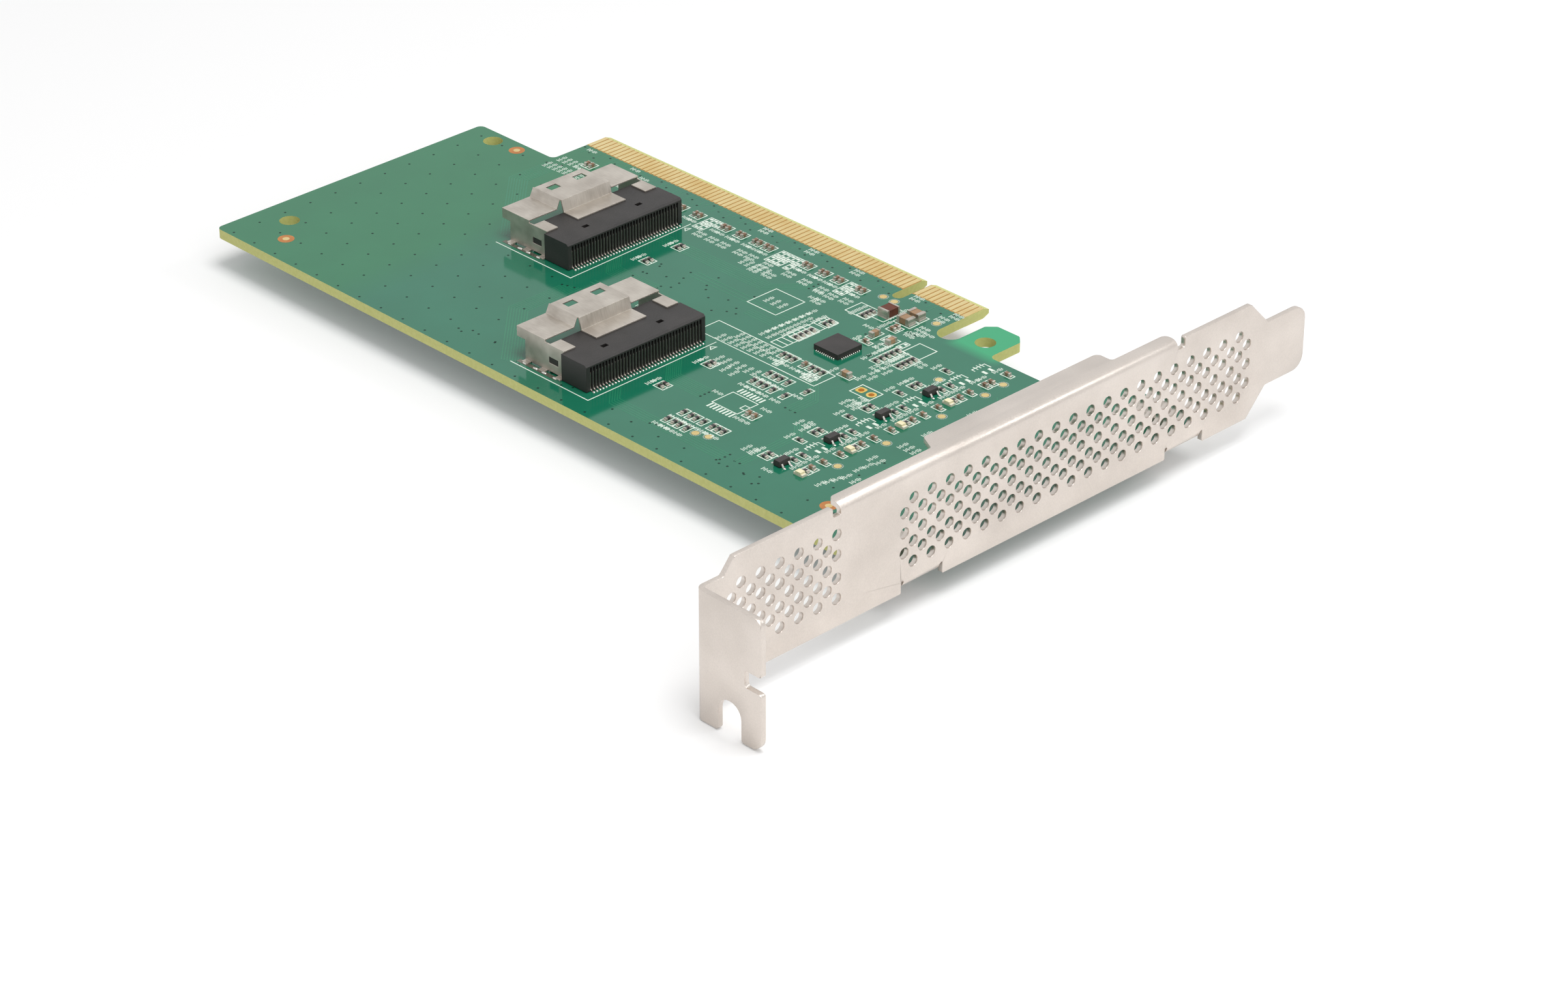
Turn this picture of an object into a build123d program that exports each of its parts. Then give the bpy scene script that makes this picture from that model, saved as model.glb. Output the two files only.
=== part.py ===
from build123d import *
import os

os.makedirs("parts", exist_ok=True)

# Host adapter card with a full-height bracket. All sizes are in millimetres.
# X runs along the card edge towards the bracket, Y runs out of the board towards the host slot,
# Z = 0 is the component face. The origin is on the tip line of the card edge, mid key notch.

# Card edge
contact_pitch = 1.0
contact_width = 0.76
contact_plate = 0.05
contact_start = 1.5  # key centre to the first contact centre, each way
short_count = 11
long_count = 71
contact_inner_y = -5.1
contact_outer_y = -1.2
edge_margin = 0.4  # last contact centre to the side of the tongue
key_width = 1.9
key_depth = 8.1
bevel_length = 1.1
bevel_depth = 0.45

# Circuit board
board_thickness = 1.57
board_far_x = -89.3
board_back_y = -66.4
far_shoulder_y = -12.5
near_shoulder_y = -11.8
corner_radius = 1.0
slot_width = 4.1
slot_depth = 12.4
ear_width = 7.15
ear_end_y = -3.85
ear_chamfer = 1.35
foot_start_x = 41.5
mounting_hole_d = 3.2
far_hole_inset_x = 5.85
far_hole_lower_y = -15.05
far_hole_spacing = 41.65
ear_hole_y = -8.85

# Bracket sheet
sheet = 0.86
bend_inside = 0.4
edge_round = 0.5  # small rounded corners of the sheet
fold_overlap = 0.5  # each fold is drawn this far into the face before they are joined
bracket_face_x = 58.0  # outer face
bracket_bottom_z = -3.02
bracket_width = 18.42
bracket_length = 120.02
bracket_start_y = -102.7  # outer face of the screw tab
board_gap = 0.54  # board end to bracket inner face
tongue_width = 10.19
tongue_length = 8.3
tongue_radius = 2.2
shoulder_run = 3.9  # length of the sloped shoulders beside the tongue

# Bracket screw tab
tab_reach = 11.43
tab_top_z = 13.1
tab_bottom_z = -6.6
tab_radius = 1.2
foot_radius = 1.9
screw_slot_width = 4.3
screw_slot_offset = 5.55  # slot centre from the bracket's outer face
screw_slot_end_z = -1.3
guide_notch_z = 2.1
guide_notch_height = 2.5
guide_notch_depth = 3.1
neck_length = 4.3
neck_slope = 2.0
flare_length = 2.2
flare_slope = 1.2  # run along Y of the flare's sloped end

# Bracket stiffening flange and board tabs
flange_start_y = -77.1
flange_end_y = -10.6
flange_reach = 2.6
wide_start_y = -57.6
wide_end_y = -21.6
wide_reach = 5.4
relief_width = 1.5
relief_depth = 1.5
wide_slope = 1.4
tab_relief = 0.5
board_tab_width = 7.0
board_tab_reach = 9.0
upper_tab_y = -61.6
lower_tab_y = -8.4
tab_screw_inset = 6.1  # screw centre from the bracket's outer face

# Bracket perforations: seven rows, mirrored about the middle of the face
hole_d = 1.7
hole_sides = 6  # a plain count of sides keeps the sheet light
hole_pitch = 3.48
row_offsets = [1.77, 3.1, 4.9]
long_field_start_y = -65.1
long_field_columns = 21
short_field_end_y = -77.85
short_field_columns = 6

# Screws that hold the board to the bracket
screw_head_d = 5.5
screw_head_height = 1.9
screw_thread_d = 2.9
screw_edge = 0.5

# Cable sockets
socket_contacts = 37
socket_pitch = 0.6
housing_width = 23.5
housing_height = 4.4
housing_length = 8.85
housing_waist = 5.4  # full-width length measured from the front
housing_edge = 0.3
housing_standoff = 0.1
slit_width = 0.36
slit_depth = 0.5
slit_top = 3.85
tail_width = 0.3
tail_plate = 0.18
tail_reach = 0.6
riser_top_z = 3.3
mouth_width = 22.2
mouth_low_z = 1.0
mouth_high_z = 3.3
mouth_depth = 6.6
pocket_x = 3.0
pocket_spacing = 10.95
pocket_length = 0.75
pocket_width = 1.1
pocket_depth = 0.9
port_a_x = -40.45
port_a_y = -25.55
port_b_x = -9.45
port_b_y = -49.8

# Socket cages
cage_sheet = 0.25
cage_width = 22.6
cage_back = 15.6  # rear edge of the cage from the housing front
cage_front = 9.4  # front edge of the shoulders from the housing front
cage_shoulder_z = 5.1
roof_half_width = 4.95
roof_z = 6.5
roof_ramp = 0.7
lip_run = 0.5
ear_plate_width = 2.3
ear_plate_length = 3.2
window_length = 1.4
window_width = 2.0
window_spacing = 5.4
side_window_length = 2.0
side_window_height = 1.0
window_inset = 2.2  # window middle from the cage's rear edge
side_window_inset = 0.8
side_window_low_z = 1.6
side_notch_length = 1.8
side_notch_height = 3.4
roof_inset = 0.3
lip_setback = 0.4
ear_plate_step = 0.9
cage_feet = 3
cage_foot_length = 1.2
cage_foot_reach = 0.8

# Chips
controller_side = 5.0
controller_height = 0.9
controller_x = 6.0
controller_y = -25.95
lands_per_side = 10
land_pitch = 0.4
land_width = 0.22
land_plate = 0.2
land_reach = 0.15
land_seat = 0.02  # the lands reach this far into a slot round the chip's foot
gate_length = 2.1
gate_width = 1.3
gate_height = 1.0
gate_lead_width = 0.3
gate_lead_plate = 0.15
gate_lead_reach = 0.5
gate_lead_pitch = 0.65
gate_lead_heel = 0.15
gate_lead_knee = 0.3
gate_standoff = 0.1
gate_draft = 0.1
gate_bulge = 0.05
gate_x = 25.1
gate_first_y = -26.15

# Two-terminal chips: length, width, height
small_chip = (1.05, 0.55, 0.35)
tall_chip = (1.05, 0.55, 0.55)
medium_chip = (1.7, 0.9, 0.8)
large_chip = (2.4, 1.6, 1.1)
inductor_size = (2.6, 2.1, 1.3)
inductor_edge = 0.15
light_size = (1.8, 0.9, 0.35)
light_lens_height = 0.3
light_lens_length = 1.1
light_offset = 0.1  # the lights stand this far out of their column

# Places of the small parts
lane_row_y = -10.1
lane_pair_spacing = 1.0
cell_offsets = [0.0, -9.7, -19.95, -29.8]  # the four status cells, from the first one
light_column_x = 28.9
light_first_y = -26.4
gate_resistor_x = 25.4
left_resistor_x = 21.9

board_near_x = bracket_face_x - sheet - board_gap
tongue_right_x = contact_start + (short_count - 1) * contact_pitch + edge_margin
tongue_left_x = -contact_start - (long_count - 1) * contact_pitch - edge_margin
ear_left_x = tongue_right_x + slot_width
ear_right_x = ear_left_x + ear_width
bracket_top_z = bracket_bottom_z + bracket_width
bracket_mid_z = bracket_bottom_z + bracket_width / 2
bracket_end_y = bracket_start_y + bracket_length
bend_outside = bend_inside + sheet
bracket_inner_x = bracket_face_x - sheet
tab_screw_x = bracket_face_x - tab_screw_inset


def save(node, solids):
    shape = Compound(children=list(solids)) if len(solids) > 1 else solids[0]
    export_step(shape, os.path.join("parts", node + ".step"))


def plate(points, radius, z_low, z_high):
    """Closed outline on XY, rounded at its corners, raised from z_low to z_high."""
    outline = make_face(FilletPolyline(*points, radius=radius, close=True))
    return Pos(0, 0, z_low) * extrude(outline, z_high - z_low, dir=(0, 0, 1))


def block(x_low, x_high, y_low, y_high, z_low, z_high):
    size = (x_high - x_low, y_high - y_low, z_high - z_low)
    return Pos(x_low, y_low, z_low) * Box(*size, align=(Align.MIN, Align.MIN, Align.MIN))


def post(x, y, diameter, z_low, z_high):
    bottom = (Align.CENTER, Align.CENTER, Align.MIN)
    return Pos(x, y, z_low) * Cylinder(diameter / 2, z_high - z_low, align=bottom)


# Circuit board


def board_outline():
    """Corner points and their radii, anticlockwise from the far back corner."""
    c = ear_chamfer
    return [
        ((board_far_x, board_back_y), corner_radius),
        ((board_near_x, board_back_y), corner_radius),
        ((board_near_x, ear_end_y), corner_radius),
        ((foot_start_x, ear_end_y), corner_radius),
        ((foot_start_x, near_shoulder_y), corner_radius),
        ((ear_right_x, near_shoulder_y), corner_radius),
        ((ear_right_x, ear_end_y - c), 0.5 * c),
        ((ear_right_x - c, ear_end_y), 0.5 * c),
        ((ear_left_x + c, ear_end_y), 0.5 * c),
        ((ear_left_x, ear_end_y - c), 0.5 * c),
        ((ear_left_x, -slot_depth), 0.49 * slot_width),
        ((tongue_right_x, -slot_depth), 0.49 * slot_width),
        ((tongue_right_x, 0), 0),
        ((tongue_left_x, 0), 0),
        ((tongue_left_x, far_shoulder_y), corner_radius),
        ((board_far_x, far_shoulder_y), corner_radius),
    ]


def bevel_cutter(side):
    """Wedge that bevels the tip of the card edge on the component (+1) or solder (-1) side."""
    face_z = 0 if side > 0 else -board_thickness
    profile = Polyline(
        (-bevel_length, face_z),
        (0, face_z - side * bevel_depth),
        (1, face_z - side * bevel_depth),
        (1, face_z + side),
        (-bevel_length, face_z + side),
        close=True,
    )
    span = tongue_right_x - tongue_left_x + 2
    wedge = extrude(Plane.YZ * make_face(profile), span, dir=(1, 0, 0))
    return Pos(tongue_left_x - 1, 0, 0) * wedge


def far_holes():
    x = board_far_x + far_hole_inset_x
    return [(x, far_hole_lower_y), (x, far_hole_lower_y - far_hole_spacing)]


def circuit_board():
    corners = board_outline()
    points = [corner for corner, radius in corners]
    radii = [radius for corner, radius in corners]
    board = plate(points, radii, -board_thickness, 0)
    key_half = key_width / 2
    key = block(-key_half, key_half, -key_depth + key_half, 1, -board_thickness, 0)
    board -= key + post(0, -key_depth + key_half, key_width, -board_thickness, 0)
    board -= bevel_cutter(1) + bevel_cutter(-1)
    ear_hole = ((ear_left_x + ear_right_x) / 2, ear_hole_y)
    bracket_holes = [(tab_screw_x, upper_tab_y), (tab_screw_x, lower_tab_y)]
    for x, y in far_holes() + [ear_hole] + bracket_holes:
        board -= post(x, y, mounting_hole_d, -board_thickness, 0)
    return board


def edge_contacts(z_low):
    """One strip of plate for each contact, on the face that starts at z_low."""
    rights = [contact_start + i * contact_pitch for i in range(short_count)]
    lefts = [-contact_start - i * contact_pitch for i in range(long_count)]
    half = contact_width / 2
    length = (contact_inner_y, contact_outer_y)
    return [block(x - half, x + half, *length, z_low, z_low + contact_plate) for x in lefts + rights]


# Bracket


def bend(reach_a, reach_b):
    """L section of the sheet: leg A runs along +V and leg B along +U from the outer corner."""
    corners = [(0, reach_a), (0, 0), (reach_b, 0), (reach_b, sheet), (sheet, sheet), (sheet, reach_a)]
    radii = [0, bend_outside, 0, 0, bend_inside, 0]
    return make_face(FilletPolyline(*corners, radius=radii, close=True))


def perforation_centres():
    """Places of the holes on the face, as (y, z)."""
    centres = []
    for side in (-1, 1):
        for index, offset in enumerate(row_offsets):
            centres += field_row(bracket_mid_z + side * offset, index != 1)
    return centres + field_row(bracket_mid_z, False)


def field_row(z, shifted):
    """One row of both fields: a shifted row starts half a pitch later and is one hole shorter."""
    long_start = long_field_start_y + (hole_pitch / 2 if shifted else 0)
    short_end = short_field_end_y - (0 if shifted else hole_pitch / 2)
    columns = long_field_columns - int(shifted)
    places = [long_start + i * hole_pitch for i in range(columns)]
    places += [short_end - i * hole_pitch for i in range(short_field_columns)]
    return [(y, z) for y in places]


def bracket_face():
    """Flat face of the bracket with its tongue, without bends, perforated."""
    tongue_y = bracket_end_y - tongue_length
    shoulder_y = tongue_y - shoulder_run
    tongue_low = bracket_mid_z - tongue_width / 2
    tongue_high = bracket_mid_z + tongue_width / 2
    start = bracket_start_y + bend_outside
    neck_y = bracket_start_y + neck_length
    flare_y = start + flare_length
    outline = [
        ((start, tab_bottom_z), 0),
        ((flare_y - flare_slope, tab_bottom_z), edge_round),
        ((flare_y + flare_slope, bracket_bottom_z), edge_round),
        ((shoulder_y, bracket_bottom_z), edge_round),
        ((tongue_y, tongue_low), edge_round),
        ((bracket_end_y, tongue_low), tongue_radius),
        ((bracket_end_y, tongue_high), tongue_radius),
        ((tongue_y, tongue_high), edge_round),
        ((shoulder_y, bracket_top_z), edge_round),
        ((neck_y + neck_slope, bracket_top_z), edge_round),
        ((neck_y, tab_top_z), edge_round),
        ((start, tab_top_z), 0),
    ]
    points = [corner for corner, radius in outline]
    radii = [radius for corner, radius in outline]
    face = make_face(FilletPolyline(*points, radius=radii, close=True))
    holes = [Pos(y, z) * RegularPolygon(hole_d / 2, hole_sides) for y, z in perforation_centres()]
    face -= Sketch(children=holes)
    return Pos(bracket_inner_x, 0, 0) * extrude(Plane.YZ * face, sheet, dir=(1, 0, 0))


def flange():
    """Stiffening flange along the top edge, folded inwards, wider in its middle."""
    section = bend(bend_outside + fold_overlap, wide_reach)
    strip = extrude(Plane.XZ * section, flange_end_y - flange_start_y, dir=(0, -1, 0))
    strip = mirror(mirror(strip, Plane.YZ), Plane.XY)
    strip = Pos(bracket_face_x, flange_end_y, bracket_top_z) * strip
    narrow_x = bracket_face_x - flange_reach
    wide_x = bracket_face_x - wide_reach
    front = bracket_face_x + 1
    outline = [
        ((front, flange_start_y), 0),
        ((front, flange_end_y), 0),
        ((narrow_x, flange_end_y), 2 * edge_round),
        ((narrow_x, wide_end_y), edge_round),
        ((wide_x, wide_end_y), 2 * edge_round),
        ((wide_x, wide_start_y + wide_slope), edge_round),
        ((narrow_x, wide_start_y), edge_round),
        ((narrow_x, flange_start_y), 2 * edge_round),
    ]
    points = [corner for corner, radius in outline]
    radii = [radius for corner, radius in outline]
    return strip & plate(points, radii, bracket_top_z - bend_outside - fold_overlap, bracket_top_z)


def board_tab(y_middle):
    """Inward tab under the board with its threaded hole."""
    section = bend(bend_outside + fold_overlap, board_tab_reach)
    strip = extrude(Plane.XZ * section, board_tab_width, dir=(0, -1, 0))
    low = -board_thickness - sheet
    strip = Pos(bracket_face_x, y_middle + board_tab_width / 2, low) * mirror(strip, Plane.YZ)
    return strip - post(tab_screw_x, y_middle, screw_thread_d, low, -board_thickness)


def screw_tab():
    """Tab folded outwards at the end of the face, with its screw slot and guide notch."""
    height = tab_top_z - tab_bottom_z
    corner = extrude(bend(bend_outside + fold_overlap, tab_reach + sheet), height, dir=(0, 0, 1))
    corner = Pos(bracket_inner_x, bracket_start_y, tab_bottom_z) * corner
    outer_x = bracket_face_x + tab_reach
    slot_x = bracket_face_x + screw_slot_offset
    slot_radius = screw_slot_width / 2
    guide_notch_high = guide_notch_z + guide_notch_height
    outline = [
        ((bracket_inner_x - 1, tab_bottom_z), 0),
        ((slot_x - slot_radius, tab_bottom_z), edge_round),
        ((slot_x - slot_radius, screw_slot_end_z), 0.98 * slot_radius),
        ((slot_x + slot_radius, screw_slot_end_z), 0.98 * slot_radius),
        ((slot_x + slot_radius, tab_bottom_z), edge_round),
        ((outer_x, tab_bottom_z), foot_radius),
        ((outer_x, guide_notch_z), edge_round),
        ((outer_x - guide_notch_depth, guide_notch_z), edge_round),
        ((outer_x - guide_notch_depth, guide_notch_high), edge_round),
        ((outer_x, guide_notch_high), edge_round),
        ((outer_x, tab_top_z), tab_radius),
        ((bracket_inner_x - 1, tab_top_z), 0),
    ]
    points = [corner_point for corner_point, radius in outline]
    radii = [radius for corner_point, radius in outline]
    face = make_face(FilletPolyline(*points, radius=radii, close=True))
    keep = extrude(Plane.XZ * face, bend_outside + fold_overlap, dir=(0, 1, 0))
    return corner & (Pos(0, bracket_start_y, 0) * keep)


def edge_relief(y_low, y_high, z_low, z_high):
    return block(bracket_inner_x - 1, bracket_face_x + 1, y_low, y_high, z_low, z_high)


def bracket():
    body = bracket_face()
    bend_low = bracket_top_z - bend_outside
    notch_low = bracket_top_z - relief_depth
    first = flange_start_y - relief_width
    last = flange_end_y + relief_width
    body -= edge_relief(first, last, bend_low, bracket_top_z + 1)
    body -= edge_relief(first, flange_start_y, notch_low, bend_low)
    body -= edge_relief(flange_end_y, last, notch_low, bend_low)
    tab_bend_high = -board_thickness - sheet + bend_outside
    for y in (upper_tab_y, lower_tab_y):
        low = y - board_tab_width / 2 - tab_relief
        high = y + board_tab_width / 2 + tab_relief
        body -= edge_relief(low, high, bracket_bottom_z - 1, tab_bend_high)
    for fold in (flange(), board_tab(upper_tab_y), board_tab(lower_tab_y), screw_tab()):
        body += fold
    return body


def bracket_screw(y):
    low = -board_thickness - sheet
    screw = post(tab_screw_x, y, screw_thread_d, low, 0)
    head = post(tab_screw_x, y, screw_head_d, 0, screw_head_height)
    return screw + chamfer(head.edges().group_by(Axis.Z)[-1], screw_edge)


# Cable sockets, drawn with the housing's front face at x = 0 and its middle at y = 0


def contact_places():
    return [(i - (socket_contacts - 1) / 2) * socket_pitch for i in range(socket_contacts)]


def socket_housing():
    half = housing_width / 2
    waist_half = cage_width / 2 - cage_sheet
    low = housing_standoff
    body = block(-housing_waist, 0, -half, half, low, housing_height)
    body = chamfer(body.edges().filter_by(Axis.Y).group_by(Axis.X)[-1].group_by(Axis.Z)[-1], housing_edge)
    body += block(-housing_length, -housing_waist, -waist_half, waist_half, low, housing_height)
    mouth_end = -housing_length + mouth_depth
    mouth_half = mouth_width / 2
    body -= block(-housing_length, mouth_end, -mouth_half, mouth_half, mouth_low_z, mouth_high_z)
    for y in contact_places():
        body -= block(-slit_depth, 0, y - slit_width / 2, y + slit_width / 2, low, slit_top)
    pocket = Box(pocket_length, pocket_width, 2 * pocket_depth)
    for y in (-pocket_spacing / 2, pocket_spacing / 2):
        body -= Pos(-pocket_x, y, housing_height) * pocket
    return body


def socket_contact(y):
    """Tail on the board and riser against the back of its slit, in one strip."""
    back = -slit_depth
    path = Polyline(
        (tail_reach, 0),
        (tail_reach, tail_plate),
        (back + tail_plate, tail_plate),
        (back + tail_plate, riser_top_z),
        (back, riser_top_z),
        (back, 0),
        close=True,
    )
    strip = extrude(Plane.XZ * make_face(path), tail_width, dir=(0, 1, 0))
    return Pos(0, y - tail_width / 2, 0) * strip


def sheet_run(points, width, plate_thickness):
    """Folded strip: a path in XZ thickened downwards and run along Y about its middle."""
    lower = [(x + dx * plate_thickness, z + dz * plate_thickness) for x, z, dx, dz in reversed(points)]
    upper = [(x, z) for x, z, dx, dz in points]
    face = make_face(Polyline(*upper, *lower, close=True))
    return Pos(0, -width / 2, 0) * extrude(Plane.XZ * face, width, dir=(0, 1, 0))


def cage_roof():
    """Raised roof, steep front lip and the tongue that lies on the housing."""
    tongue_z = housing_height + cage_sheet
    roof_front = -cage_front + lip_setback
    tongue_back = roof_front + lip_run
    run = [
        (-cage_back + roof_inset, roof_z, 0, -1),
        (roof_front, roof_z, -1, -1),
        (tongue_back, tongue_z, -1, -1),
        (tongue_back + ear_plate_length, tongue_z, 0, -1),
    ]
    roof = sheet_run(run, 2 * roof_half_width, cage_sheet)
    window = Box(window_length, window_width, 4 * cage_sheet)
    for y in (-window_spacing / 2, window_spacing / 2):
        roof -= Pos(-cage_back + window_inset, y, roof_z) * window
    return roof


def cage_side():
    """Ramp, shoulder, side wall, housing ear plate and solder feet on the -Y side."""
    outer = -cage_width / 2
    ramp_low = -roof_half_width - roof_ramp
    s = cage_sheet
    section = Polyline(
        (-roof_half_width, roof_z),
        (ramp_low, cage_shoulder_z),
        (outer, cage_shoulder_z),
        (outer, s),
        (outer + s, s),
        (outer + s, cage_shoulder_z - s),
        (ramp_low + s / 2, cage_shoulder_z - s),
        (-roof_half_width, roof_z - 1.4 * s),
        close=True,
    )
    side = extrude(Plane.YZ * make_face(section), cage_back - cage_front, dir=(1, 0, 0))
    side = Pos(-cage_back, 0, 0) * side
    notch_x = -cage_back + side_notch_length
    side -= block(-cage_back, notch_x, outer - s, outer + 2 * s, 0, side_notch_height)
    plate_z = housing_height + s
    ear_x = -cage_front + ear_plate_step
    ear_y = outer + ear_plate_width
    side += block(-cage_front, -housing_waist, outer, outer + s, s, plate_z)
    side += block(ear_x, ear_x + ear_plate_length, outer, ear_y, housing_height, plate_z)
    window = Box(side_window_length, 4 * s, side_window_height, align=(Align.MIN, Align.CENTER, Align.MIN))
    side -= Pos(-cage_front + side_window_inset, outer, side_window_low_z) * window
    foot_gap = (notch_x + housing_waist + cage_foot_length) / (cage_feet - 1)
    for i in range(cage_feet):
        x = notch_x - i * foot_gap
        side += block(x, x + cage_foot_length, outer - cage_foot_reach, outer + s, 0, s)
    return side


def socket_cage():
    side = cage_side()
    return cage_roof() + side + mirror(side, Plane.XZ)


def place(shape, x, y):
    return Pos(x, y, 0) * shape


# Chips


def controller_terminals():
    """Lands on the four sides, each turned about the chip's middle."""
    lands = []
    half = controller_side / 2
    for quarter in range(4):
        for i in range(lands_per_side):
            y = (i - (lands_per_side - 1) / 2) * land_pitch
            low = y - land_width / 2
            land = block(half - land_seat, half + land_reach, low, low + land_width, 0, land_plate)
            lands.append(place(Rot(0, 0, 90 * quarter) * land, controller_x, controller_y))
    return lands


def controller_body():
    half = controller_side / 2
    body = block(-half, half, -half, half, 0, controller_height)
    slot = block(half - land_seat, half, -half, half, 0, land_plate)
    for quarter in range(4):
        body -= Rot(0, 0, 90 * quarter) * slot
    return place(body, controller_x, controller_y)


def gate_body(y):
    half_x = gate_width / 2
    half_y = gate_length / 2
    profile = Polyline(
        (-half_x, gate_standoff),
        (half_x, gate_standoff),
        (half_x + gate_bulge, gate_height / 2),
        (half_x - gate_draft, gate_height),
        (-half_x + gate_draft, gate_height),
        (-half_x - gate_bulge, gate_height / 2),
        close=True,
    )
    body = Pos(0, -half_y, 0) * extrude(Plane.XZ * make_face(profile), gate_length, dir=(0, 1, 0))
    return place(body, gate_x, y)


def gate_lead(side, offset, y):
    """Gull-wing lead on the +X (1) or -X (-1) side of a gate chip."""
    start = gate_width / 2 + gate_bulge
    t = gate_lead_plate
    middle = gate_height / 2
    profile = Polyline(
        (start, middle - t / 2),
        (start, middle + t / 2),
        (start + gate_lead_knee, t),
        (start + gate_lead_reach, t),
        (start + gate_lead_reach, 0),
        (start + gate_lead_heel, 0),
        close=True,
    )
    lead = extrude(Plane.XZ * make_face(profile), gate_lead_width, dir=(0, 1, 0))
    lead = Pos(0, -gate_lead_width / 2, 0) * lead
    if side < 0:
        lead = mirror(lead, Plane.YZ)
    return place(lead, gate_x, y + offset)


def gate_leads():
    leads = []
    for y in cell_rows([gate_first_y]):
        leads += [gate_lead(1, offset, y) for offset in (-gate_lead_pitch, gate_lead_pitch)]
        leads += [gate_lead(-1, offset, y) for offset in (-gate_lead_pitch, 0, gate_lead_pitch)]
    return leads


def chip(size, x, y, along_x):
    length, width, height = size if along_x else (size[1], size[0], size[2])
    return block(x - length / 2, x + length / 2, y - width / 2, y + width / 2, 0, height)


def chips(size, xs, ys, along_x):
    return [chip(size, x, y, along_x) for x in xs for y in ys]


def lane_capacitors():
    """Coupling capacitors in pairs along the card edge."""
    pair_centres = [-65.8, -61.2, -57.6, -53.2, -48.6, -44.6, -40.7, -34.4]
    pair_centres += [-31.0, -27.4, -24.9, -16.4, -12.9, -9.7, -5.0]
    solids = []
    for centre in pair_centres:
        pair = [centre - lane_pair_spacing / 2, centre + lane_pair_spacing / 2]
        solids += chips(tall_chip, pair, [lane_row_y], False)
    return solids


def cell_rows(rows):
    """Repeats the rows of the first light cell for all four."""
    return [row + offset for offset in cell_offsets for row in rows]


def chip_resistors():
    solids = chips(small_chip, [light_column_x], cell_rows([-25.2]), True)
    solids += chips(small_chip, [gate_resistor_x], cell_rows([-22.3, -24.1]), True)
    solids += chips(small_chip, [left_resistor_x], cell_rows([-19.5, -25.3, -26.4]), True)
    solids += chips(small_chip, [16.1], [-20.4, -21.4, -22.4, -23.4], True)
    solids += chips(small_chip, [12.6], [-20.1, -21.2, -22.3, -23.4, -24.6], True)
    solids += chips(small_chip, [-0.8], [-20.6, -21.7, -24.5, -25.6, -26.7, -27.8], True)
    solids += chips(small_chip, [1.1], [-13.9, -14.8, -15.7], True)
    solids += chips(small_chip, [1.7, 2.8, 3.9, 7.6, 8.7, 9.8], [-32.9], False)
    solids += chips(small_chip, [4.5, 5.8, 6.9, 8.5, 12.4], [-38.5], False)
    solids += chips(small_chip, [4.5, 5.8, 6.9, 8.5, 11.0], [-41.6], False)
    solids += chips(small_chip, [4.5, 6.0, 7.1, 8.6, 10.5, 11.6, 12.7], [-55.4], False)
    solids += chips(small_chip, [4.3, 5.7, 6.8, 8.3], [-58.4], False)
    solids += chips(small_chip, [-3.6], [-42.1, -43.1, -51.5, -52.5], True)
    solids += chips(small_chip, [-34.6], [-19.2, -20.2, -25.9, -26.9], True)
    return solids


def bypass_capacitors():
    solids = chips(tall_chip, [light_column_x], cell_rows([-24.0]), True)
    solids += chips(tall_chip, [light_column_x], [-14.0, -17.4, -18.7, -21.9, -28.4, -31.5], True)
    solids += chips(tall_chip, [light_column_x], [-38.0, -41.5, -48.2, -51.5], True)
    solids += chips(tall_chip, [11.3, 12.5], [-49.1], False)
    solids += chips(tall_chip, [6.2], [-32.9], False)
    solids += chips(tall_chip, [7.3], [-14.9, -15.8, -21.4], True)
    return solids


def bulk_capacitors():
    solids = [chip(large_chip, 6.9, -10.4, True), chip(large_chip, 7.0, -12.7, True)]
    solids += chips(medium_chip, [6.6, 10.0], [-18.9], False)
    return solids + [chip(medium_chip, 12.7, -30.9, True)]


def power_inductor():
    body = chip(inductor_size, 3.3, -12.6, False)
    return chamfer(body.edges().group_by(Axis.Z)[-1], inductor_edge)


def light_bases():
    return [chip(light_size, light_column_x + light_offset, y, True) for y in cell_rows([light_first_y])]


def light_lenses():
    length, width, height = light_size
    lens = (light_lens_length, width, light_lens_height)
    x = light_column_x + light_offset
    return [Pos(0, 0, height) * chip(lens, x, y, True) for y in cell_rows([light_first_y])]


save("circuit_board", [circuit_board()])
save("edge_contacts_top", edge_contacts(0))
save("edge_contacts_bottom", edge_contacts(-board_thickness - contact_plate))
save("bracket", [bracket()])
save("bracket_screws", [bracket_screw(y) for y in (upper_tab_y, lower_tab_y)])
for port, x, y in (("port_a", port_a_x, port_a_y), ("port_b", port_b_x, port_b_y)):
    save(port + "_housing", [place(socket_housing(), x, y)])
    save(port + "_contacts", [place(socket_contact(lane), x, y) for lane in contact_places()])
    save(port + "_cage", [place(socket_cage(), x, y)])
save("controller_body", [controller_body()])
save("controller_terminals", controller_terminals())
save("gate_chip_bodies", [gate_body(y) for y in cell_rows([gate_first_y])])
save("gate_chip_leads", gate_leads())
save("status_light_bases", light_bases())
save("status_light_lenses", light_lenses())
save("lane_capacitors", lane_capacitors())
save("bypass_capacitors", bypass_capacitors())
save("bulk_capacitors", bulk_capacitors())
save("chip_resistors", chip_resistors())
save("power_inductor", [power_inductor()])
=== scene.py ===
import bpy
import bmesh
import numpy as np
from mathutils import Matrix, Vector
from mathutils.geometry import delaunay_2d_cdt


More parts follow.
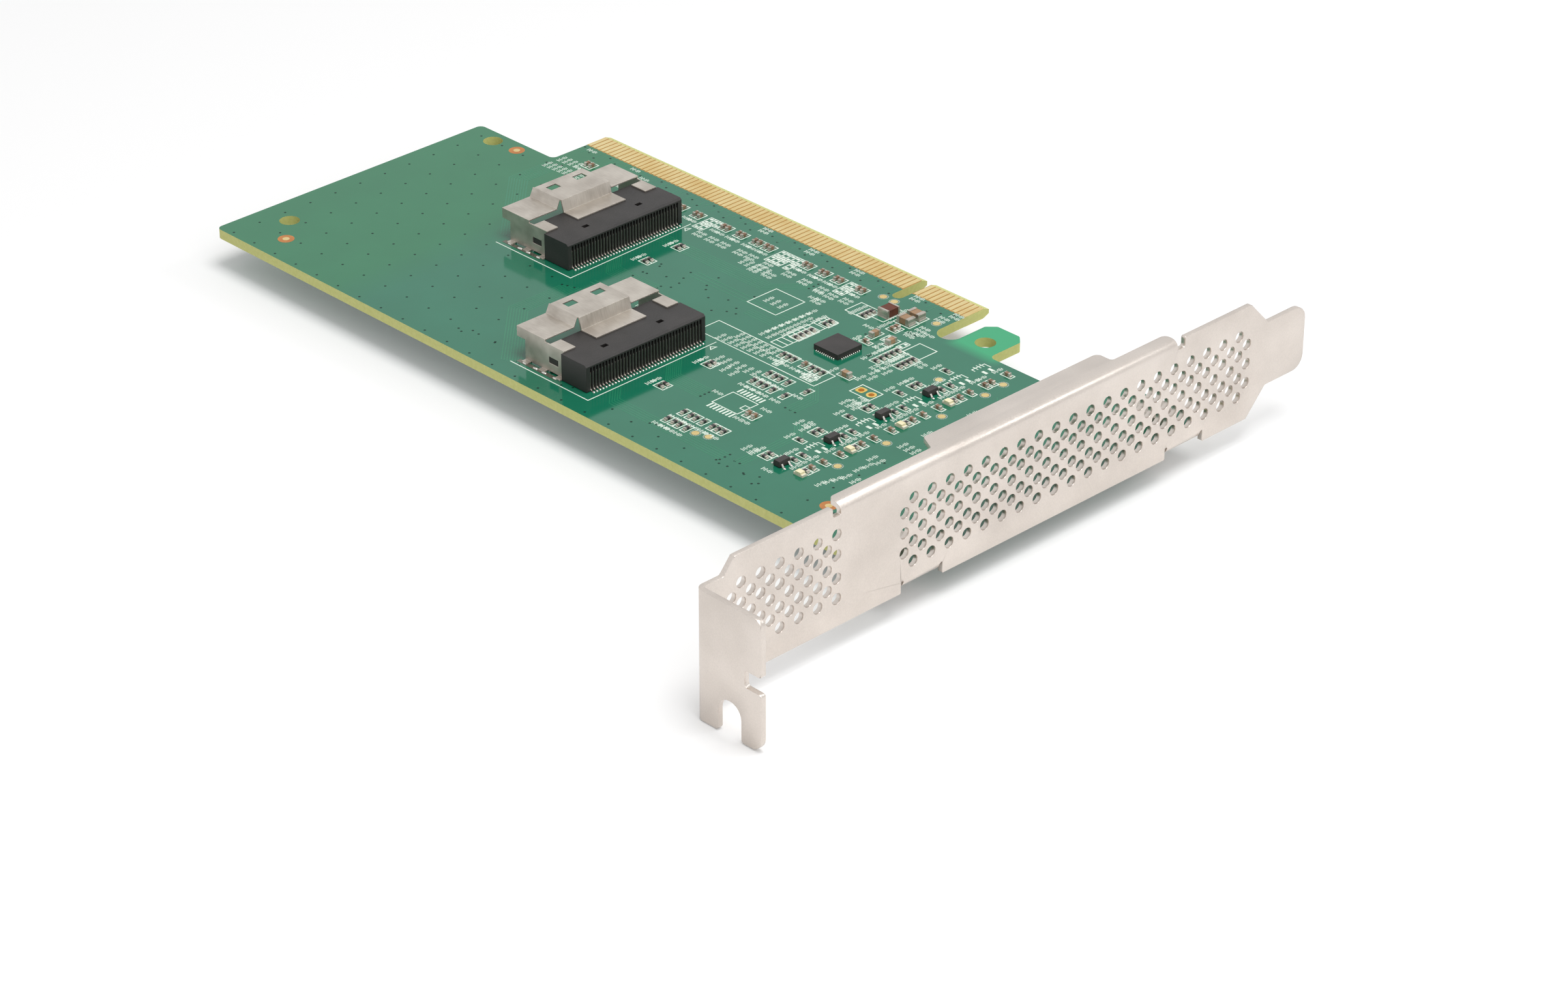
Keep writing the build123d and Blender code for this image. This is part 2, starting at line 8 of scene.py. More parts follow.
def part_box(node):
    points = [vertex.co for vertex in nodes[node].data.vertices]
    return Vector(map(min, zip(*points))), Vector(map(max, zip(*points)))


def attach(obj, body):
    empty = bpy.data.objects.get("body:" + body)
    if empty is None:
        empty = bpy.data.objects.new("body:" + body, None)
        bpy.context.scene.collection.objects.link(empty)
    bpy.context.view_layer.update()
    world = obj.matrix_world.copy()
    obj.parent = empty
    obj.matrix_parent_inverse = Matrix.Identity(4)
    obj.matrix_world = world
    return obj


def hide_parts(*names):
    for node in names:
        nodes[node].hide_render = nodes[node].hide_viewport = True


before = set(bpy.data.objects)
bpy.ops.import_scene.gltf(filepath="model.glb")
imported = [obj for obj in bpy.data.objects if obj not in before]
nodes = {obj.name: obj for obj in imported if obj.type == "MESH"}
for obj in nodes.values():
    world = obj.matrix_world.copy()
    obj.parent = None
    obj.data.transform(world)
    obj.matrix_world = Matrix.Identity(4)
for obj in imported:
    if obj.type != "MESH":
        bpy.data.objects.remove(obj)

mm = 0.001
quarter = np.pi / 2  # a quarter turn
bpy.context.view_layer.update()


def linearColour(hexText):  # sRGB hex to linear: ((c + 0.055) / 1.055) ** 2.4 above the toe, c / 12.92 below
    c = np.array([int(hexText[i:i + 2], 16) for i in (1, 3, 5)]) / 255
    c = np.where(c > 0.04045, ((c + 0.055) / 1.055) ** 2.4, c / 12.92)
    return (*[float(v) for v in c], 1.0)


def addNode(tree, kind, settings=None, inputs=None):  # one node with its settings and its links
    node = tree.nodes.new(kind)
    for key, value in (settings or {}).items():
        setattr(node, key, value)
    for key, value in (inputs or {}).items():
        if isinstance(value, bpy.types.NodeSocket):
            tree.links.new(value, node.inputs[key])
        else:
            node.inputs[key].default_value = value
    return node


def blankMaterial(name):
    material = bpy.data.materials.new(name)
    material.use_nodes = True
    return material, material.node_tree, material.node_tree.nodes["Principled BSDF"]


# what the finishes share, unless one says otherwise: how fine the two noises go, the clouds' size, the grain's share in
# the tone, and the spans of the noise that the tones and the roughness are spread over
grainLook = {"details": (4.0, 2.0), "cloudMm": 14, "grainShare": 0.6, "toneSpan": (0.55, 1.05), "roughSpan": (0.3, 0.7),
             "stretch": (1, 1, 1), "relief": 0.5, "metal": 0.0, "specular": 0.5}


# Two close tones are mixed by share * grain + cloud. Roughness and relief follow the grain alone. Each noise has a
# scale of 1 / its size, so that its cells are about that size across. Numbered inputs: Map Range has the value in 0,
# the span it comes from in 1 and 2 and the one it goes to in 3 and 4, and a Mix of colours has its share in 0 and the
# colours in 6 and 7.
def grainyMaterial(name, own):
    look = {**grainLook, **own}
    material, tree, shader = blankMaterial(name)
    place = addNode(tree, "ShaderNodeTexCoord").outputs["Object"]
    stretched = addNode(tree, "ShaderNodeMapping", inputs={"Vector": place, "Scale": look["stretch"]}).outputs[0]
    noises = []
    for at, sizeMm, detail in zip((stretched, place), (look["grainMm"], look["cloudMm"]), look["details"]):
        noises.append(addNode(tree, "ShaderNodeTexNoise",
                              inputs={"Vector": at, "Detail": detail, "Scale": 1 / (sizeMm * mm)}))
    grain, cloud = [noise.outputs["Fac"] for noise in noises]
    both = addNode(tree, "ShaderNodeMath", {"operation": "MULTIPLY_ADD"}, {0: grain, 1: look["grainShare"], 2: cloud})
    spread = addNode(tree, "ShaderNodeMapRange",
                     inputs={0: both.outputs[0], 1: look["toneSpan"][0], 2: look["toneSpan"][1]})
    dark, light = map(linearColour, look["tones"])
    tone = addNode(tree, "ShaderNodeMix", {"data_type": "RGBA"}, {0: spread.outputs[0], 6: dark, 7: light})
    rough = addNode(tree, "ShaderNodeMapRange", inputs={0: grain, 1: look["roughSpan"][0], 2: look["roughSpan"][1],
                                                        3: look["rough"][0], 4: look["rough"][1]})
    relief = addNode(tree, "ShaderNodeBump",
                     inputs={"Height": grain, "Distance": look["reliefMm"] * mm, "Strength": look["relief"]})
    tree.links.new(tone.outputs[2], shader.inputs["Base Color"])
    tree.links.new(rough.outputs[0], shader.inputs["Roughness"])
    tree.links.new(relief.outputs[0], shader.inputs["Normal"])
    shader.inputs["Metallic"].default_value = look["metal"]
    shader.inputs["Specular IOR Level"].default_value = look["specular"]
    return material


# A mesh in metres, with its material or list of materials, riding on the fixed body; nodeNames are the nodes it stands
# for.
def meshPiece(name, points, faces, material, nodeNames=(), indices=None):
    mesh = bpy.data.meshes.new(name)
    mesh.from_pydata(np.asarray(points, float).tolist(), [], [list(map(int, f)) for f in faces])
    piece = bpy.data.objects.new(name, mesh)
    bpy.context.scene.collection.objects.link(piece)
    for m in (material if isinstance(material, (list, tuple)) else [material]):
        mesh.materials.append(m)
    if indices is not None:
        mesh.polygons.foreach_set("material_index", np.asarray(indices, np.int32))
    mesh.update()
    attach(piece, "root")
    if nodeNames:
        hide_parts(*nodeNames)
    return piece


def applyModifiers(piece, sharpDegrees=None):  # past sharpDegrees an edge keeps its crease, below it the shade runs on
    done = bpy.data.meshes.new_from_object(piece.evaluated_get(bpy.context.evaluated_depsgraph_get()))
    piece.modifiers.clear()
    piece.data = done
    if sharpDegrees:
        done.shade_smooth()
        done.set_sharp_from_angle(angle=np.radians(sharpDegrees))


# Each finish has two tones in sRGB and its grain in mm. Grain under a tenth of a millimetre is too fine to show, so
# rolling lines, mould grain and plating mottle are drawn coarser than the real ones.
finishes = {
    # nickel-plated steel sheet, satin: soft broad highlights and a faint mottle, drawn coarser than the real one
    "nickelSheet": {"tones": ("#cec5bd", "#e0d7cf"), "grainMm": 0.22, "cloudMm": 9, "rough": (0.28, 0.4), "metal": 1.0,
                    "reliefMm": 0.03, "relief": 0.8},
    # tin-plated spring strip, rolled: greyer and duller, with faint streaks along it, drawn coarser than the real ones
    "tinnedSpringSheet": {"tones": ("#a9a197", "#c9c2b8"), "grainMm": 0.16, "stretch": (0.1, 1, 0.1), "cloudMm": 3.5,
                          "rough": (0.28, 0.4), "metal": 0.6, "reliefMm": 0.002, "relief": 0.12},
    # reflowed tin solder: bright, wet-looking and uneven
    "tinSolder": {"tones": ("#c9c6c0", "#efece6"), "grainMm": 0.2, "cloudMm": 2, "rough": (0.22, 0.42), "metal": 1.0,
                  "reliefMm": 0.01, "relief": 0.3},
    # plated ends of the chips: greyer than the solder round them
    "platedEnd": {"tones": ("#aaa49a", "#cdc7bd"), "grainMm": 0.15, "cloudMm": 1.2, "rough": (0.3, 0.5), "metal": 1.0,
                  "reliefMm": 0.01, "relief": 0.3},
    # hand-soldered ground pads: dull and lumpy, and painted dark for the cage's shade over them
    "dullSolderShaded": {"tones": ("#66655a", "#98958a"), "grainMm": 0.3, "cloudMm": 1.5, "rough": (0.35, 0.6), "metal": 1.0,
                   "reliefMm": 0.02, "relief": 0.6},
    # thin immersion gold on the bare pads: warm yellow, satin
    "flashGold": {"tones": ("#e9bf58", "#f6dc8c"), "grainMm": 0.3, "cloudMm": 2, "rough": (0.3, 0.45), "metal": 1.0,
                  "reliefMm": 0.002},
    # gold-plated wall of an empty hole, seen from above: painted deep orange for the shade inside it
    "platedHoleShade": {"tones": ("#a05c08", "#c47a14"), "grainMm": 0.2, "cloudMm": 1, "rough": (0.4, 0.5), "metal": 0.9,
                   "reliefMm": 0.002},
    # hard gold on the edge contacts: pale yellow with faint wipe marks along them
    "hardGold": {"tones": ("#e0c27e", "#eedba2"), "grainMm": 0.5, "stretch": (1, 0.15, 1), "cloudMm": 6,
                 "rough": (0.22, 0.34), "metal": 1.0, "reliefMm": 0.002, "relief": 0.2},
    # glass-filled polymer, moulded: black with a matt grain that greys its lit faces, drawn coarser than the mould's
    "blackPolymer": {"tones": ("#1d1b1a", "#2d2a29"), "grainMm": 0.12, "cloudMm": 4, "rough": (0.42, 0.6),
                     "reliefMm": 0.01, "relief": 0.4},
    # chip epoxy, moulded: sandy and slightly warm, drawn coarser than the mould's grain
    "moldedEpoxy": {"tones": ("#242120", "#363231"), "grainMm": 0.09, "cloudMm": 3, "rough": (0.5, 0.65),
                    "reliefMm": 0.008, "relief": 0.5},
    # fired capacitor ceramic: plain brown, half matt
    "chipCeramic": {"tones": ("#745642", "#92765d"), "grainMm": 0.2, "cloudMm": 3, "rough": (0.45, 0.6),
                    "reliefMm": 0.004},
    # the same in the larger capacitors: paler, beige
    "paleCeramic": {"tones": ("#8b6b4e", "#a78768"), "grainMm": 0.2, "cloudMm": 3, "rough": (0.45, 0.6),
                    "reliefMm": 0.004},
    # glassy coat over a resistor: near black and glossy
    "resistorGlaze": {"tones": ("#1c1a1b", "#2b282a"), "grainMm": 0.2, "cloudMm": 3, "rough": (0.25, 0.4),
                      "reliefMm": 0.002},
    # white moulded carrier under a light: creamy, half matt
    "whiteCarrier": {"tones": ("#d9d3bd", "#ece7d6"), "grainMm": 0.2, "cloudMm": 3, "rough": (0.4, 0.55),
                     "reliefMm": 0.003},
    # cast resin over the light, unlit: pale yellow and glossy, with small sharp highlights
    "castResin": {"tones": ("#e6d9a8", "#f3ecc9"), "grainMm": 0.4, "cloudMm": 2, "rough": (0.15, 0.25),
                  "reliefMm": 0.002},
    # moulded ferrite powder: dark red-brown and matt
    "brownFerrite": {"tones": ("#4a1f0e", "#642d17"), "grainMm": 0.15, "cloudMm": 2, "rough": (0.5, 0.65),
                     "reliefMm": 0.01},
    # screen-printed epoxy ink: flat white that lets a little green through
    "silkInk": {"tones": ("#cfe0d2", "#e8f1e6"), "grainMm": 0.15, "cloudMm": 5, "rough": (0.5, 0.6), "reliefMm": 0.004},
    # bare glass-epoxy in the rings that the mask leaves open: orange-brown, half matt
    "orangeBrownLaminate": {"tones": ("#a8662c", "#c27e3c"), "grainMm": 0.3, "cloudMm": 3, "rough": (0.4, 0.5),
                            "reliefMm": 0.004},
    # the gloss mask where copper lies under it: a little lighter, so that the runs just show
    "maskOverTrace": {"tones": ("#197453", "#237f5d"), "grainMm": 0.5, "cloudMm": 9, "rough": (0.15, 0.19),
                      "reliefMm": 0.002},
    # tin on the sockets' contacts: painted darker than the solder, for the shade and the black walls' reflection where
    # it lies between them
    "contactTinShaded": {"tones": ("#8d887f", "#b0aaa0"), "grainMm": 0.15, "cloudMm": 1.2, "rough": (0.3, 0.45), "metal": 1.0,
                   "reliefMm": 0.004},
    # a via filled by the mask: a dark green dot of painted shade where its hole sits, with hardly a highlight
    "viaShade": {"tones": ("#0a2c22", "#10382b"), "grainMm": 0.3, "cloudMm": 5, "rough": (0.3, 0.4), "specular": 0.15,
                 "reliefMm": 0.002}}
made = {name: grainyMaterial(name, look) for name, look in finishes.items()}

# tones of the board's zones, and where each zone begins and is full, in mm: "open" is the greener field right of the
# empty one, the ear has no copper under it and lets light through, and the card edge between the contacts is bare amber
# laminate
maskLook = {"plane": ("#0f6b46", "#1b774f"), "open": ("#10674c", "#1a7257"), "laminate": ("#bcbf70", "#d3d38b"),
            "ear": "#22a06c", "amber": "#a9803c", "openX": (-62, -54), "earX": (14.8, 16.5), "earEndX": (26.2, 24.2),
            "earY": (-13.6, -11.2), "amberY": (-5.3, -5.2), "amberEndX": 13, "maskRough": 0.11, "cutRough": 0.7,
            "cloudMm": 9, "weaveMm": 0.5, "reliefMm": 0.008, "relief": 0.25, "faceUp": 0.99}


# Green gloss mask on the two faces, cut glass-epoxy laminate on the edges and bevels: a spot is on a face where its
# true normal's height is over 0.99. The eye gets a wet-looking coat with slow clouds, and a straw-coloured woven edge.
def solderMask():
    look = maskLook
    material, tree, shader = blankMaterial("solderMaskOnLaminate")
    place = addNode(tree, "ShaderNodeTexCoord").outputs["Object"]
    xyz = addNode(tree, "ShaderNodeSeparateXYZ", inputs={0: place}).outputs
    noises = {}
    for name, detail in (("cloudMm", 3.0), ("weaveMm", 2.0)):
        noises[name] = addNode(tree, "ShaderNodeTexNoise",
                               inputs={"Vector": place, "Scale": 1 / (look[name] * mm),
                                       "Detail": detail}).outputs["Fac"]
    tones = {}
    for name, noise in (("plane", "cloudMm"), ("open", "cloudMm"), ("laminate", "weaveMm")):
        dark, light = map(linearColour, look[name])
        tones[name] = addNode(tree, "ShaderNodeMix", {"data_type": "RGBA"},
                              {0: noises[noise], 6: dark, 7: light}).outputs[2]
    zones = {}
    for name, axis in (("openX", "X"), ("earX", "X"), ("earEndX", "X"), ("earY", "Y"), ("amberY", "Y")):
        start, full = look[name]
        zones[name] = addNode(tree, "ShaderNodeMapRange", inputs={0: xyz[axis], 1: start * mm, 2: full * mm}).outputs[0]
    zones["amberEndX"] = addNode(tree, "ShaderNodeMath", {"operation": "LESS_THAN"},
                                 {0: xyz["X"], 1: look["amberEndX"] * mm}).outputs[0]
    for name, first, second in (("ear", "earX", "earY"), ("ear", "ear", "earEndX"), ("amber", "amberY", "amberEndX")):
        zones[name] = addNode(tree, "ShaderNodeMath", {"operation": "MULTIPLY"},
                              {0: zones[first], 1: zones[second]}).outputs[0]
    green = tones["plane"]
    for zone, tone in (("openX", tones["open"]), ("ear", linearColour(look["ear"])),
                       ("amber", linearColour(look["amber"]))):
        green = addNode(tree, "ShaderNodeMix", {"data_type": "RGBA"}, {0: zones[zone], 6: green, 7: tone}).outputs[2]
    up = addNode(tree, "ShaderNodeSeparateXYZ",
                 inputs={0: addNode(tree, "ShaderNodeNewGeometry").outputs["True Normal"]})
    level = addNode(tree, "ShaderNodeMath", {"operation": "ABSOLUTE"}, {0: up.outputs["Z"]}).outputs[0]
    isFace = addNode(tree, "ShaderNodeMath", {"operation": "GREATER_THAN"}, {0: level, 1: look["faceUp"]}).outputs[0]
    tone = addNode(tree, "ShaderNodeMix", {"data_type": "RGBA"}, {0: isFace, 6: tones["laminate"], 7: green}).outputs[2]
    rough = addNode(tree, "ShaderNodeMapRange",
                    inputs={0: isFace, 3: look["cutRough"], 4: look["maskRough"]}).outputs[0]
    relief = addNode(tree, "ShaderNodeBump", inputs={"Height": noises["weaveMm"], "Distance": look["reliefMm"] * mm,
                                                     "Strength": look["relief"]})
    tree.links.new(tone, shader.inputs["Base Color"])
    tree.links.new(rough, shader.inputs["Roughness"])
    tree.links.new(relief.outputs[0], shader.inputs["Normal"])
    return material


made["solderMask"] = solderMask()
nodeFinish = {
    "circuit_board": "solderMask", "edge_contacts_top": "hardGold", "edge_contacts_bottom": "hardGold",
    "bracket_screws": "tinnedSpringSheet", "port_a_housing": "blackPolymer", "port_b_housing": "blackPolymer",
    "port_a_contacts": "platedEnd", "port_b_contacts": "platedEnd", "port_a_cage": "tinnedSpringSheet",
    "port_b_cage": "tinnedSpringSheet", "controller_body": "moldedEpoxy", "controller_terminals": "tinSolder",
    "gate_chip_bodies": "moldedEpoxy", "gate_chip_leads": "tinSolder", "status_light_bases": "whiteCarrier",
    "status_light_lenses": "castResin", "lane_capacitors": "chipCeramic", "bypass_capacitors": "chipCeramic",
    "bulk_capacitors": "paleCeramic", "chip_resistors": "resistorGlaze", "power_inductor": "brownFerrite",
    "bracket": "nickelSheet"}
for nodeName, finishName in nodeFinish.items():
    for place in nodes[nodeName].material_slots:
        place.material = made[finishName]
print("materials:", len(made))


# The bracket is one flat blank with round holes, folded along its bends. All sizes are in mm on the sheet's middle
# face: u runs along the plate, v up it.
sheetLook = {
    # sheet, its bends and its softened rims
    "thick": 0.86, "midX": 57.57, "midRadius": 0.83, "rim": 0.07, "bendSteps": 6,
    "rimDegrees": 50, "creaseDegrees": 32,  # edges sharper than the first are rims, and past the second they crease
    # the plate and its slopes to the screw tab
    "edges": (-3.02, 15.4), "shoulders": ((-100.44, -98.04), (-98.4, -96.4)),
    # stiffening flange
    "topBend": 14.14, "flange": (-77.1, -10.6), "reach": (1.34, 4.14), "wide": (-57.6, -56.2, -21.6),
    "cutWide": 1.5, "cutLow": 13.9,  # relief cuts at the flange's ends
    "tabBend": -1.17, "tabs": (-61.6, -8.4), "tabHalf": 3.5, "tabReach": 7.74, "tabCut": 0.5,  # the two board tabs
    "tabHole": (4.84, 1.45),  # how far past the bend, and its radius
    # screw tab, guide notch
    "endBend": -101.44, "endReach": 11.03, "endEdges": (-6.6, 13.1), "notch": (7.93, 2.1, 4.6),
    "slot": (5.15, 2.15, -1.3),  # the forked slot: middle past the bend, half its width, its closed end
    "tongue": (5.12, 9.02, 17.32), "tongueEdges": (1.095, 11.285),
    "holeR": 0.85, "holeSides": 20, "pitch": 3.48, "holeMiddle": 6.19,
    # each pair of rows: how far off the middle, and 1 if half a pitch on
    "rows": ((0, 0), (1.77, 1), (3.1, 0), (4.9, 1)),
    "fields": ((-65.1, 21), (-77.85, 6))}  # long field from its near end on, short field from its near end back


# Each corner (u, v, r) becomes an arc, centre + r (cos t, sin t), in parts of up to a step, in radians.
def roundedLoop(corners, step=0.3):
    loop = []
    count = len(corners)
    for i, (u, v, r) in enumerate(corners):
        p = np.array((u, v))
        a = np.array(corners[i - 1][:2]) - p
        b = np.array(corners[(i + 1) % count][:2]) - p
        a, b = a / np.linalg.norm(a), b / np.linalg.norm(b)
        half = np.arccos(np.clip(a @ b, -1, 1)) / 2
        middle = p + (a + b) / np.linalg.norm(a + b) * r / np.sin(half)
        start, end = p + a * r / np.tan(half) - middle, p + b * r / np.tan(half) - middle
        t = np.linspace(0, 1, max(3, int(np.ceil((np.pi - 2 * half) / step))) + 1)[:, None]
        turn = np.pi - 2 * half
        loop.append(middle + (np.sin((1 - t) * turn) * start + np.sin(t * turn) * end) / np.sin(turn))
    return np.concatenate(loop)


def insideLoop(points, loop):  # even-odd rule: counts the loop's edges to the right of each point
    a, b = loop, np.roll(loop, -1, 0)
    crosses = (a[None, :, 1] > points[:, 1, None]) != (b[None, :, 1] > points[:, 1, None])
    tiny = 1e-12  # keeps level edges from dividing by zero
    at = a[:, 0] + (points[:, 1, None] - a[:, 1]) * (b[:, 0] - a[:, 0]) / (b[:, 1] - a[:, 1] + tiny)
    return (crosses & (points[:, 0, None] < at)).sum(1) % 2 == 1


def holePlaces():  # middles of the holes: start + i * pitch along each row, every second pair of rows half a pitch on
    look, pitch = sheetLook, sheetLook["pitch"]
    (long, longCount), (short, shortCount) = look["fields"]
    places = []
    for offset, shifted in look["rows"]:
        u = np.concatenate((long + shifted * pitch / 2 + pitch * np.arange(longCount - shifted),
                            short - (1 - shifted) * pitch / 2 - pitch * np.arange(shortCount)))
        for side in ((-1, 1) if offset else (1,)):
            places.append(np.stack((u, np.full(len(u), look["holeMiddle"] + side * offset)), 1))
    return np.concatenate(places)


# Flat (u, v) to (x, y, z): past a bend line at s = 0 the sheet turns by a = min(s / r, 90 degrees) about the
# bend's centre, r (1 - cos a) out of the face and r sin a along it, and then runs straight on.
def foldedPoints(flat):
    look, r, slack = sheetLook, sheetLook["midRadius"], 0.01
    u, v = flat[:, 0], flat[:, 1]
    x, y, z = np.full(len(u), look["midX"]), u.copy(), v.copy()
    inFlange = (u > look["flange"][0] - slack) & (u < look["flange"][1] + slack)
    onTab = np.any([abs(u - tab) < look["tabHalf"] + slack for tab in look["tabs"]], 0)
    for s, use, side in ((v - look["topBend"], inFlange, 1), (look["tabBend"] - v, onTab, -1)):
        use = use & (s > 0)
        a = np.minimum(s / r, quarter)
        x = np.where(use, look["midX"] - r * (1 - np.cos(a)) - np.maximum(s - r * quarter, 0), x)
        z = np.where(use, v - side * (s - r * np.sin(a)), z)
    s = look["endBend"] - u
    a = np.clip(s / r, 0, quarter)
    x = np.where(s > 0, look["midX"] + r * (1 - np.cos(a)) + np.maximum(s - r * quarter, 0), x)
    y = np.where(s > 0, look["endBend"] - r * np.sin(a), y)
    return np.stack((x, y, z), 1)


def blankOutline(run):  # corners (u, v, radius) of the flat blank; run is the length of sheet in one bend
    look, bend = sheetLook, sheetLook["tabBend"]
    low, high = look["edges"]
    endLow, endHigh = look["endEdges"]
    (lowOut, lowIn), (highOut, highIn) = look["shoulders"]
    f0, f1 = look["flange"]
    cutWide, cutLow = look["cutWide"], look["cutLow"]
    narrow, wide = [look["topBend"] + run + reach for reach in look["reach"]]
    step0, step1, step2 = look["wide"]
    base, waist, tip = look["tongue"]
    tongueLow, tongueHigh = look["tongueEdges"]
    end = look["endBend"] - run - look["endReach"]
    notch, notchLow, notchHigh = look["endBend"] - run - look["notch"][0], *look["notch"][1:]
    outline = [(end, endLow, 1.9), (end, notchLow, 0.5), (notch, notchLow, 0.5), (notch, notchHigh, 0.5),
               (end, notchHigh, 0.5), (end, endHigh, 1.2), (highOut, endHigh, 0.5), (highIn, high, 0.5),
               (f0 - cutWide, high, 0.3), (f0 - cutWide, cutLow, 0.4), (f0, cutLow, 0.15), (f0, narrow, 1.0),
               (step0, narrow, 0.5), (step1, wide, 0.5), (step2, wide, 1.0), (step2, narrow, 0.5), (f1, narrow, 1.0),
               (f1, cutLow, 0.15), (f1 + cutWide, cutLow, 0.4), (f1 + cutWide, high, 0.3), (base, high, 0.5),
               (waist, tongueHigh, 0.5), (tip, tongueHigh, 2.2), (tip, tongueLow, 2.2), (waist, tongueLow, 0.5),
               (base, low, 0.5)]
    for tab in look["tabs"][::-1]:
        a, b, cut = tab + look["tabHalf"], tab - look["tabHalf"], look["tabCut"]
        reach = bend - run - look["tabReach"]
        outline += [(a + cut, low, 0.2), (a + cut, bend, 0.1), (a, bend, 0.1), (a, reach, 0.6),
                    (b, reach, 0.6), (b, bend, 0.1), (b - cut, bend, 0.1), (b - cut, low, 0.2)]
    slot, half, top = look["endBend"] - run - look["slot"][0], *look["slot"][1:]
    return outline + [(lowIn, low, 0.5), (lowOut, endLow, 0.5), (slot + half, endLow, 0.5), (slot + half, top, 2.1),
                      (slot - half, top, 2.1), (slot - half, endLow, 0.5)]


# The outline, the holes' rims and the lines of the bends are meshed flat, faces in holes or off the sheet are dropped,
# and the rest is folded, given its wall and softened at its rims.
def bracketPiece():
    look = sheetLook
    run = look["midRadius"] * quarter
    t = np.arange(look["holeSides"]) * 2 * np.pi / look["holeSides"]
    rim = np.stack((np.cos(t), np.sin(t)), 1)
    past, tabHoleR = look["tabHole"]
    holes = [(centre, look["holeR"]) for centre in holePlaces()]
    holes += [(np.array((tab, look["tabBend"] - run - past)), tabHoleR) for tab in look["tabs"]]
    loops = [roundedLoop(blankOutline(run))] + [c + r * rim for c, r in holes]
    bend = np.linspace(0, run, look["bendSteps"])
    lines = [[(u, look["topBend"] + s) for u in look["flange"]] for s in bend]
    lines += [[(look["endBend"] - s, v) for v in look["endEdges"]] for s in bend]
    lines += [[(tab + side * look["tabHalf"], look["tabBend"] - s) for side in (-1, 1)]
              for tab in look["tabs"] for s in bend]
    points = np.concatenate(loops + [np.array(line) for line in lines])
    edges, first = [], 0
    for loop in loops:
        i = np.arange(len(loop))
        edges += np.stack((first + i, first + (i + 1) % len(loop)), 1).tolist()
        first += len(loop)
    edges += [(first + 2 * i, first + 2 * i + 1) for i in range(len(lines))]
    same, sliver = 1e-5, 1e-7  # points this near, in mm, are one, and faces with half this area, in square mm, go
    inside = 0.97  # of a hole's radius, as the rim's sides cut a little inside its circle
    out = delaunay_2d_cdt([Vector(p) for p in points.tolist()], edges, [], 0, same)
    flat, faces = np.array([tuple(p) for p in out[0]]), np.array(out[2])
    middle = flat[faces].mean(1)
    keep = insideLoop(middle, loops[0])
    for c, r in holes:
        keep &= np.hypot(*(middle - c).T) > r * inside
    faces = faces[keep]
    a, b, c = (flat[faces[:, i]] for i in range(3))
    area = (b[:, 0] - a[:, 0]) * (c[:, 1] - a[:, 1]) - (b[:, 1] - a[:, 1]) * (c[:, 0] - a[:, 0])  # twice the face's
    faces = np.where((area < 0)[:, None], faces[:, ::-1], faces)[abs(area) > sliver]
    used = np.unique(faces)
    renumber = np.zeros(len(flat), int)
    renumber[used] = np.arange(len(used))
    piece = meshPiece("bracketSheet", foldedPoints(flat[used]) * mm, renumber[faces], made["nickelSheet"],
                      ("bracket",))
    wall = piece.modifiers.new("wall", "SOLIDIFY")
    wall.thickness, wall.offset, wall.use_even_offset = look["thick"] * mm, 0, True
    soft = piece.modifiers.new("soft", "BEVEL")
    soft.width, soft.segments, soft.limit_method = look["rim"] * mm, 2, "ANGLE"
    soft.angle_limit = np.radians(look["rimDegrees"])  # softens the cut edges, leaves the bends
    soft.use_clamp_overlap = False
    applyModifiers(piece, look["creaseDegrees"])
    return piece


bracketSheet = bracketPiece()
print("bracket:", len(bracketSheet.data.polygons), "faces")


# the stamped and moulded bodies again with their edges rounded: piece, radius in mm and slot for each node
softEdges = {
    "port_a_cage": ("socketCageA", 0.1, "cage_metal"), "port_b_cage": ("socketCageB", 0.1, "cage_metal"),
    "port_a_housing": ("socketBodyA", 0.1, "black_plastic"), "port_b_housing": ("socketBodyB", 0.1, "black_plastic"),
    "controller_body": ("controllerBody", 0.09, "chip_epoxy"), "gate_chip_bodies": ("gateBodies", 0.05, "chip_epoxy")}


# A copy of the node with equal points merged and flat triangles joined; each edge sharper than 25 degrees gets the
# radius.
def softenedCopy(nodeName, name, width):
    work = bmesh.new()
    work.from_mesh(nodes[nodeName].data)
    same, flat, sharp = 0.002 * mm, np.radians(1), np.radians(25)  # points this near and faces this level are one
    bmesh.ops.remove_doubles(work, verts=work.verts, dist=same)
    bmesh.ops.dissolve_limit(work, angle_limit=flat, verts=work.verts, edges=work.edges)
    mesh = bpy.data.meshes.new(name)
    work.to_mesh(mesh)
    work.free()
    points = [tuple(v.co) for v in mesh.vertices]
    faces = [p.vertices for p in mesh.polygons]
    piece = meshPiece(name, points, faces, made[nodeFinish[nodeName]], (nodeName,))
    bpy.data.meshes.remove(mesh)
    piece.data.shade_smooth()
    soft = piece.modifiers.new("soft", "BEVEL")
    soft.width, soft.segments, soft.limit_method = width * mm, 2, "ANGLE"
    soft.angle_limit = sharp
    soft.harden_normals = True  # wide faces stay flat in shade, only the rounded edges turn
    applyModifiers(piece)


for nodeName, (name, width, slotName) in softEdges.items():
    softenedCopy(nodeName, name, width)
print("rounded bodies:", len(softEdges))

# the sockets: where the middle of each one's row of contacts meets the housing's front
sockets = {"A": (-40.45, -25.55), "B": (-9.45, -49.8)}

